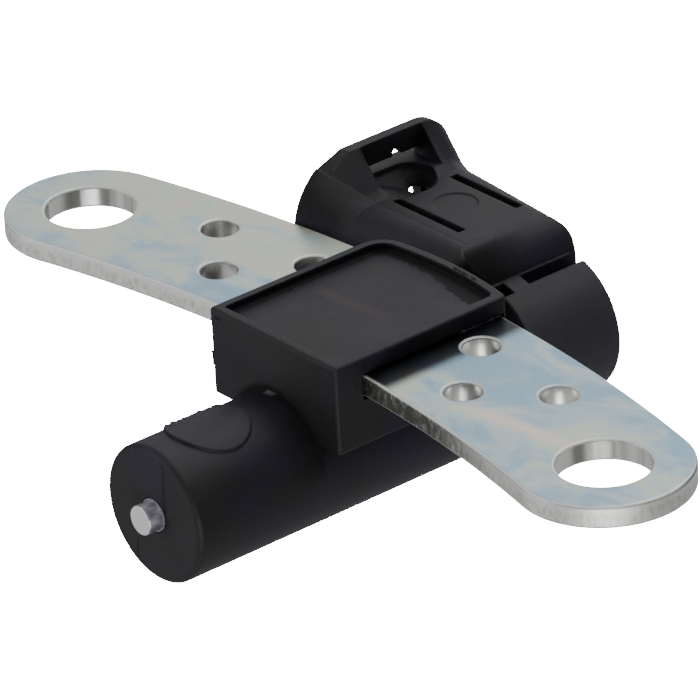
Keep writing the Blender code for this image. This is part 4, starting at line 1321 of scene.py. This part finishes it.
# %% Cut the rooms
coil_room = [
    (0.0, PIN_FRONT_Y - OVER),
    (BORE_R, PIN_FRONT_Y - OVER),
    (BORE_R, NOSE_FRONT_Y - GAP),
    (NOSE_R + GAP, NOSE_FRONT_Y - GAP),
    (NOSE_R + GAP, FLANGE_FRONT_Y - GAP),
    (FLANGE_R + GAP, FLANGE_FRONT_Y - GAP),
    (FLANGE_R + GAP, FLANGE_BACK_Y + GAP),
    (MAGNET_R + GAP, FLANGE_BACK_Y + GAP),
    (MAGNET_R + GAP, MAGNET_BACK_Y + GAP),
    (0.0, MAGNET_BACK_Y + GAP),
]
cut(moulding, prism("strip_slot", strip_outline(GAP), "z", -STRIP_T - GAP, GAP))
cut(moulding, spin_y("coil_room", coil_room, BARREL_Z, steps=64))
for blade_y, drop_x in BLADES:
    cut(moulding, terminal_room(blade_y, drop_x))
print("moulding faces with its rooms:", len(moulding.data.polygons))

# %% [markdown]
# ## Hand the moulding over
#
# Weighted normals keep flat faces flat beside rounded edges. Then the moulding takes the place
# of the CAD node, rides on the only body and gets its slot.

# %% Hand the moulding over
moulding.name = "moulding"
moulding.data.name = "moulding"
even_shading(moulding, plastic, angle=30.0)
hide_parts("housing")
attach(moulding, "root")
print("moulding faces:", len(moulding.data.polygons))

# %% [markdown]
# ## A kit for Geometry Nodes
#
# A shape that follows a rule is worth a node tree. Recipe holds one tree with named inputs for
# its sizes, and the same Field operators do its maths. Each recipe ends in real mesh with its
# material, and grow runs it on a small base object and keeps the result as plain mesh.


# %% Recipe kit
class Recipe(NodeKit):
    """One Geometry Nodes tree with named inputs that are numbers."""

    def __init__(self, name, labels):
        super().__init__(bpy.data.node_groups.new(name, "GeometryNodeTree"))
        face = self.tree.interface
        face.new_socket(name="Geometry", in_out="OUTPUT", socket_type="NodeSocketGeometry")
        face.new_socket(name="Geometry", in_out="INPUT", socket_type="NodeSocketGeometry")
        self.codes = {}
        for label in labels:
            socket = face.new_socket(name=label, in_out="INPUT", socket_type="NodeSocketFloat")
            self.codes[label] = socket.identifier
        self.start = self.tree.nodes.new("NodeGroupInput")
        self.end = self.tree.nodes.new("NodeGroupOutput")

    def asked(self, label):
        """One input of the tree as a field."""
        return Field(self, self.start.outputs[label])

    def finish(self, geometry, finish):
        """End the tree in real mesh with its material."""
        real = self.add("GeometryNodeRealizeInstances", sockets={0: geometry})
        painted = self.add("GeometryNodeSetMaterial", sockets={0: real, "Material": finish.material})
        self.feed(self.end.inputs[0], painted)

    def grow(self, base, values):
        """Run the tree on an object and keep the result as plain mesh."""
        growing = base.modifiers.new("growing", "NODES")
        growing.node_group = self.tree
        for label, value in values.items():
            growing[self.codes[label]] = value
        return bake(base)


print("recipe kit ready")


# %% Bases for recipes
def points_object(name, points, edges=(), numbers=None):
    """A mesh of loose points in millimetres, with numbers as named point values."""
    mesh = bpy.data.meshes.new(name)
    mesh.from_pydata([[value * MM for value in point] for point in points], list(edges), [])
    for label, values in (numbers or {}).items():
        layer = mesh.attributes.new(label, "FLOAT", "POINT")
        layer.data.foreach_set("value", values)
    holder = bpy.data.objects.new(name, mesh)
    bpy.context.scene.collection.objects.link(holder)
    return holder


def merge_flats(solid):
    """Weld the seams and turn the triangles of each flat face into as few faces as can be."""
    bm = bmesh.new()
    bm.from_mesh(solid.data)
    bmesh.ops.remove_doubles(bm, verts=bm.verts, dist=SEAM_WELD)
    bmesh.ops.dissolve_limit(bm, angle_limit=0.0005, verts=bm.verts, edges=bm.edges)
    bmesh.ops.recalc_face_normals(bm, faces=bm.faces)
    bm.to_mesh(solid.data)
    bm.free()
    return solid


print("recipe bases ready")

# %% [markdown]
# ## Strip
#
# The real strip is blanked from sheet with its holes, and its plan follows an arc. An outline
# could be written point by point, but the rule is short. A slot shape with round ends
# is drawn straight, and then bent. Points between the bolt holes turn about the arc's centre, and
# points past them slide on along the last tangent, so the ends stay truly round. The holes are
# circles on the points of the base mesh, filled together with the outline and pushed down.

# %% Strip recipe
CORNER_POINTS = 40
OUTLINE_POINTS = 420
HOLE_POINTS = 96
# Just under one, so that the two fillets of an end don't meet in one point
FILLET_SHARE = 0.9999

strip_inputs = ("Arc Radius", "Half Width", "Half Spacing", "Thickness")
recipe = Recipe("strip_recipe", strip_inputs)
arc_r, half_w, spacing, thick = [recipe.asked(label) for label in strip_inputs]
lean = recipe.add("Math", {"operation": "ARCSINE"}, {0: spacing / arc_r})
half_l = lean * arc_r
straight = recipe.add(
    "GeometryNodeCurvePrimitiveQuadrilateral",
    {"mode": "RECTANGLE"},
    {"Width": (half_l + half_w) * 2.0, "Height": half_w * 2.0},
)
rounded = recipe.add(
    "GeometryNodeFilletCurve",
    {"mode": "POLY"},
    {"Curve": straight, "Radius": half_w * FILLET_SHARE, "Limit Radius": True, "Count": CORNER_POINTS},
)
even = recipe.add("GeometryNodeResampleCurve", sockets={"Curve": rounded, "Count": OUTLINE_POINTS})
x, y, z = recipe.parts(recipe.add("GeometryNodeInputPosition"))
held = x.largest(half_l * -1.0).smallest(half_l)
rest = x - held
turn = held / arc_r
turn_sin = recipe.add("Math", {"operation": "SINE"}, {0: turn})
turn_cos = recipe.add("Math", {"operation": "COSINE"}, {0: turn})
drop = recipe.add("Math", {"operation": "COSINE"}, {0: lean}) * arc_r
bent = recipe.add(
    "CombineXYZ",
    sockets={
        "X": (y + arc_r) * turn_sin + rest * turn_cos,
        "Y": (y + arc_r) * turn_cos - rest * turn_sin - drop,
    },
)
outline = recipe.add("GeometryNodeSetPosition", sockets={"Geometry": even, "Position": bent})
ring = recipe.add(
    "GeometryNodeCurvePrimitiveCircle",
    sockets={"Resolution": HOLE_POINTS, "Radius": 1.0},
)
size = recipe.add("GeometryNodeInputNamedAttribute", {"data_type": "FLOAT"}, {"Name": "hole_radius"})
holes = recipe.add(
    "GeometryNodeInstanceOnPoints",
    sockets={"Points": recipe.asked("Geometry"), "Instance": ring, "Scale": size},
)
real_holes = recipe.add("GeometryNodeRealizeInstances", sockets={0: holes})
plan = recipe.add("GeometryNodeJoinGeometry", sockets={0: [outline, real_holes]})
sheet = recipe.add("GeometryNodeFillCurve", sockets={"Curve": plan})
down = recipe.add("CombineXYZ", sockets={"Z": thick * -1.0})
pushed = recipe.add(
    "GeometryNodeExtrudeMesh",
    {"mode": "FACES"},
    {"Mesh": sheet, "Offset": down, "Offset Scale": 1.0, "Individual": False},
)
both = recipe.add("GeometryNodeJoinGeometry", sockets={0: [sheet, pushed]})
closed = recipe.add("GeometryNodeMergeByDistance", sockets={"Geometry": both, "Distance": 1e-6})
recipe.finish(closed, zinc)
print("strip recipe nodes:", len(recipe.tree.nodes))

# %% Build the strip
STRIP_SHRINK = 0.03

strip = points_object(
    "strip",
    [(x, y, 0.0) for x, y, radius in STRIP_HOLES],
    numbers={"hole_radius": [radius * MM for x, y, radius in STRIP_HOLES]},
)
recipe.grow(
    strip,
    {
        "Arc Radius": STRIP_ARC_R * MM,
        "Half Width": (STRIP_HALF_WIDTH - STRIP_SHRINK) * MM,
        "Half Spacing": HOLE_HALF_SPACING * MM,
        "Thickness": STRIP_T * MM,
    },
)
merge_flats(strip)
round_edges(strip, EDGE_SOFTNESS, clamp=False)
even_shading(strip, zinc, angle=12.0)
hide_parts("bracket_plate")
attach(strip, "root")
print("strip faces:", len(strip.data.polygons))

# %% [markdown]
# ## Pole pin
#
# The pin carries the magnet's field out to the wheel that it reads. It is a turned bar with a
# small chamfer, so a profile and a spin make it, as on the lathe.

# %% Pole pin
CHAMFER = 0.25

pin_back_y = FLANGE_BACK_Y - 0.2
profile = [(0.0, PIN_FRONT_Y), (PIN_R - CHAMFER, PIN_FRONT_Y)]
profile += arc(PIN_R - CHAMFER, PIN_FRONT_Y + CHAMFER, CHAMFER, 270, 360, 4)[1:]
profile += [(PIN_R, pin_back_y), (0.0, pin_back_y)]
pin = spin_y("pin", profile, BARREL_Z, steps=96)
even_shading(pin, steel)
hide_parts("pole_pin")
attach(pin, "root")
print("pin faces:", len(pin.data.polygons))

# %% [markdown]
# ## Bobbin
#
# The bobbin is the spool that the coil is wound on. It is turned as well, with a thin nose that
# runs out to the barrel's face, where it shows as a pale ring round the foot of the pin. A notch
# in its back flange lets the coil's two tails through.

# %% Bobbin
lip_in, lip_out = PIN_R + 0.03, PIN_R + 0.20
front, back = FLANGE_FRONT_Y, FLANGE_BACK_Y
profile = [
    (lip_in, BARREL_FRONT_Y - 0.05),
    (lip_out, BARREL_FRONT_Y - 0.05),
    (lip_out, NOSE_FRONT_Y),
    (NOSE_R, NOSE_FRONT_Y),
    (NOSE_R, front),
    (FLANGE_R, front),
    (FLANGE_R, front + FLANGE_T),
    (TUBE_R, front + FLANGE_T),
    (TUBE_R, back - FLANGE_T),
    (FLANGE_R, back - FLANGE_T),
    (FLANGE_R, back),
    (BORE_R, back),
    (BORE_R, NOSE_FRONT_Y + 0.4),
    (lip_in, NOSE_FRONT_Y + 0.2),
]
bobbin = spin_y("bobbin", profile, BARREL_Z, steps=96)
drops = [drop_x for blade_y, drop_x in BLADES]
notch_x0, notch_x1 = drops[0] - 0.9, drops[1] + 0.9
notch_y0, notch_y1 = back - FLANGE_T - GAP, back + GAP
notch_z0, notch_z1 = BARREL_Z + TUBE_R + 0.4, BARREL_Z + FLANGE_R + OVER
cut(bobbin, brick("notch", notch_x0, notch_x1, notch_y0, notch_y1, notch_z0, notch_z1))
even_shading(bobbin, natural)
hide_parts("coil_bobbin")
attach(bobbin, "root")
print("bobbin faces:", len(bobbin.data.polygons))

# %% [markdown]
# ## Winding
#
# The winding is one wire in a close helix. Rings side by side would look much the same, but a
# helix is how the wire really lies. The recipe draws a spiral, turns it to lie along Y, and
# sweeps a round section along it. The base mesh, a plain core with its two tails, is joined to
# it, so the lower layers need no turns of their own.

# %% Winding recipe
TURN_POINTS = 28
WIRE_SIDES = 7

wire_inputs = ("Turns", "Coil Radius", "Length", "Wire Radius", "Start", "Height")
wire_recipe = Recipe("winding_recipe", wire_inputs)
asked = [wire_recipe.asked(label) for label in wire_inputs]
turns, coil_r, length, wire_r, start_y, height = asked
helix = wire_recipe.add(
    "GeometryNodeCurveSpiral",
    sockets={
        "Resolution": TURN_POINTS,
        "Rotations": turns,
        "Start Radius": coil_r,
        "End Radius": coil_r,
        "Height": length,
    },
)
shift = wire_recipe.add("CombineXYZ", sockets={"Y": start_y, "Z": height})
quarter_turn = (math.radians(-90.0), 0.0, 0.0)
laid = wire_recipe.add(
    "GeometryNodeTransform",
    sockets={"Geometry": helix, "Translation": shift, "Rotation": quarter_turn},
)
section = wire_recipe.add(
    "GeometryNodeCurvePrimitiveCircle",
    sockets={"Resolution": WIRE_SIDES, "Radius": wire_r},
)
wire = wire_recipe.add(
    "GeometryNodeCurveToMesh",
    sockets={"Curve": laid, "Profile Curve": section, "Fill Caps": True},
)
core = wire_recipe.asked("Geometry")
wound = wire_recipe.add("GeometryNodeJoinGeometry", sockets={0: [wire, core]})
wire_recipe.finish(wound, copper)
print("winding recipe nodes:", len(wire_recipe.tree.nodes))

# %% Build the winding
WIRE_R = 0.16
TAIL_R = 0.3

core_r = WINDING_R - 2.0 * WIRE_R + 0.05
y0 = FLANGE_FRONT_Y + FLANGE_T + GAP
y1 = FLANGE_BACK_Y - FLANGE_T - GAP
core_in = TUBE_R + GAP
core_profile = [(core_in, y0), (core_r, y0), (core_r, y1), (core_in, y1)]
winding = spin_y("winding", core_profile, BARREL_Z, steps=64)
for drop_x in drops:
    tail_z = BARREL_Z + math.sqrt((WINDING_R - 0.45)**2 - drop_x**2)
    tail = arc(drop_x, tail_z, TAIL_R, 0, 360, 16)[:-1]
    join(winding, prism("tail", tail, "y", y1 - 0.6, RUN_END_Y - GAP))
coil_length = y1 - y0 - 2.0 * WIRE_R
wire_recipe.grow(
    winding,
    {
        "Turns": coil_length / (2.05 * WIRE_R),
        "Coil Radius": (WINDING_R - WIRE_R) * MM,
        "Length": coil_length * MM,
        "Wire Radius": WIRE_R * MM,
        "Start": (y0 + WIRE_R) * MM,
        "Height": BARREL_Z * MM,
    },
)
finish_solid(winding, copper, smooth_below=50.0)
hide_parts("coil_winding")
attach(winding, "root")
print("winding faces:", len(winding.data.polygons))

# %% [markdown]
# ## Flash
#
# Where the tool closes on the strip, and where its parts meet, a little plastic creeps out and
# tears. Modelled by hand it would look too even. The recipe walks along each seam in short steps,
# gives every step its own thickness from noise, and sweeps a small ring along the walk. The
# result is a ragged, closed bead.

# %% Flash recipe
BEAD_SIDES = 8

flash_inputs = ("Step", "Thickness", "Roughness", "Seed")
flash_recipe = Recipe("flash_recipe", flash_inputs)
step, thickness, roughness, seed = [flash_recipe.asked(label) for label in flash_inputs]
walk = flash_recipe.add("GeometryNodeMeshToCurve", sockets={"Mesh": flash_recipe.asked("Geometry")})
fine_walk = flash_recipe.add(
    "GeometryNodeResampleCurve",
    {"mode": "LENGTH"},
    {"Curve": walk, "Length": step},
)
place = flash_recipe.add("GeometryNodeInputPosition")
ragged_noise = flash_recipe.add(
    "TexNoise",
    {"noise_dimensions": "4D"},
    {"Vector": place, "W": seed, "Scale": roughness, "Detail": 4.0, "Roughness": 0.8},
)
share_of = ragged_noise.between(0.40, 0.68)
width = thickness * (share_of * 0.85 + 0.15)
bead = flash_recipe.add(
    "GeometryNodeCurvePrimitiveCircle",
    sockets={"Resolution": BEAD_SIDES, "Radius": 1.0},
)
fringe = flash_recipe.add(
    "GeometryNodeCurveToMesh",
    sockets={"Curve": fine_walk, "Profile Curve": bead, "Scale": width, "Fill Caps": True},
)
flash_recipe.finish(fringe, plastic)
print("flash recipe nodes:", len(flash_recipe.tree.nodes))

# %% [markdown]
# ## Seams that carry flash
#
# The flash is put where the photograph shows it: where the strip enters the block, round a third
# of the pad, at a nib on the block's left edge and one on the barrel's side, and as crumbs on the
# block's back rim. Each seam is a row of points joined by edges, and all rows are one mesh.

# %% Seams that carry flash
SEAM_ROWS = 44
FIRST_BACK_ROW = 30
CRUMBS = 11
BLOCK_NIB_ZS = (-5.6, -4.9, -4.3, -3.7)
BARREL_NIB_STEPS = (0.8, 1.2, 1.6, 1.9)


def on_barrel(x, radius):
    """Height of the barrel's round top at x."""
    return BARREL_Z + math.sqrt(radius**2 - x**2)


seams = []
for side in (-1, 1):
    x = BLOCK_SHIFT_X + side * (BLOCK_HALF_X - 0.08)
    low_y = STRIP_MID_Y - STRIP_HALF_WIDTH + 0.2
    high_y = STRIP_MID_Y + STRIP_HALF_WIDTH - 0.5
    ys = [low_y + (high_y - low_y) * i / SEAM_ROWS for i in range(SEAM_ROWS + 1)]
    # On the side of the high end of X, the top seam shows flash only towards the back
    top_ys = ys if side < 0 else ys[FIRST_BACK_ROW:]
    seams.append([(x, y, 0.10) for y in top_ys])
    seams.append([(x, y, -STRIP_T - 0.10) for y in ys])
pad_arc = arc(0.0, PAD_Y, PAD_R, 120, 235, 30)
seams.append([(x, y, on_barrel(x, BARREL_R + PAD_RISE * 0.6)) for x, y in pad_arc])
left_x = BLOCK_SHIFT_X - BLOCK_HALF_X + 0.1
seams.append([(left_x, BLOCK_FRONT_Y + 0.1, z) for z in BLOCK_NIB_ZS])
seams.append([(-BARREL_R, BARREL_FRONT_Y + step, BARREL_Z - 0.2) for step in BARREL_NIB_STEPS])
crumb_xs = [1.5 + 0.5 * i for i in range(CRUMBS)]
seams.append([(x, BLOCK_BACK_Y - 0.9 - 0.008 * x * x, BLOCK_TOP_Z - 0.05) for x in crumb_xs])
print("seams:", len(seams))

# %% Grow the flash
points = [point for seam in seams for point in seam]
edges = []
first = 0
for seam in seams:
    edges += [(first + i, first + i + 1) for i in range(len(seam) - 1)]
    first += len(seam)
flash = points_object("flash", points, edges)
flash_sizes = {
    "Step": 0.20 * MM,
    "Thickness": 0.42 * MM,
    "Roughness": 700.0,
    "Seed": 3.0,
}
flash_recipe.grow(flash, flash_sizes)
finish_solid(flash, plastic, smooth_below=50.0)
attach(flash, "root")
print("flash faces:", len(flash.data.polygons))
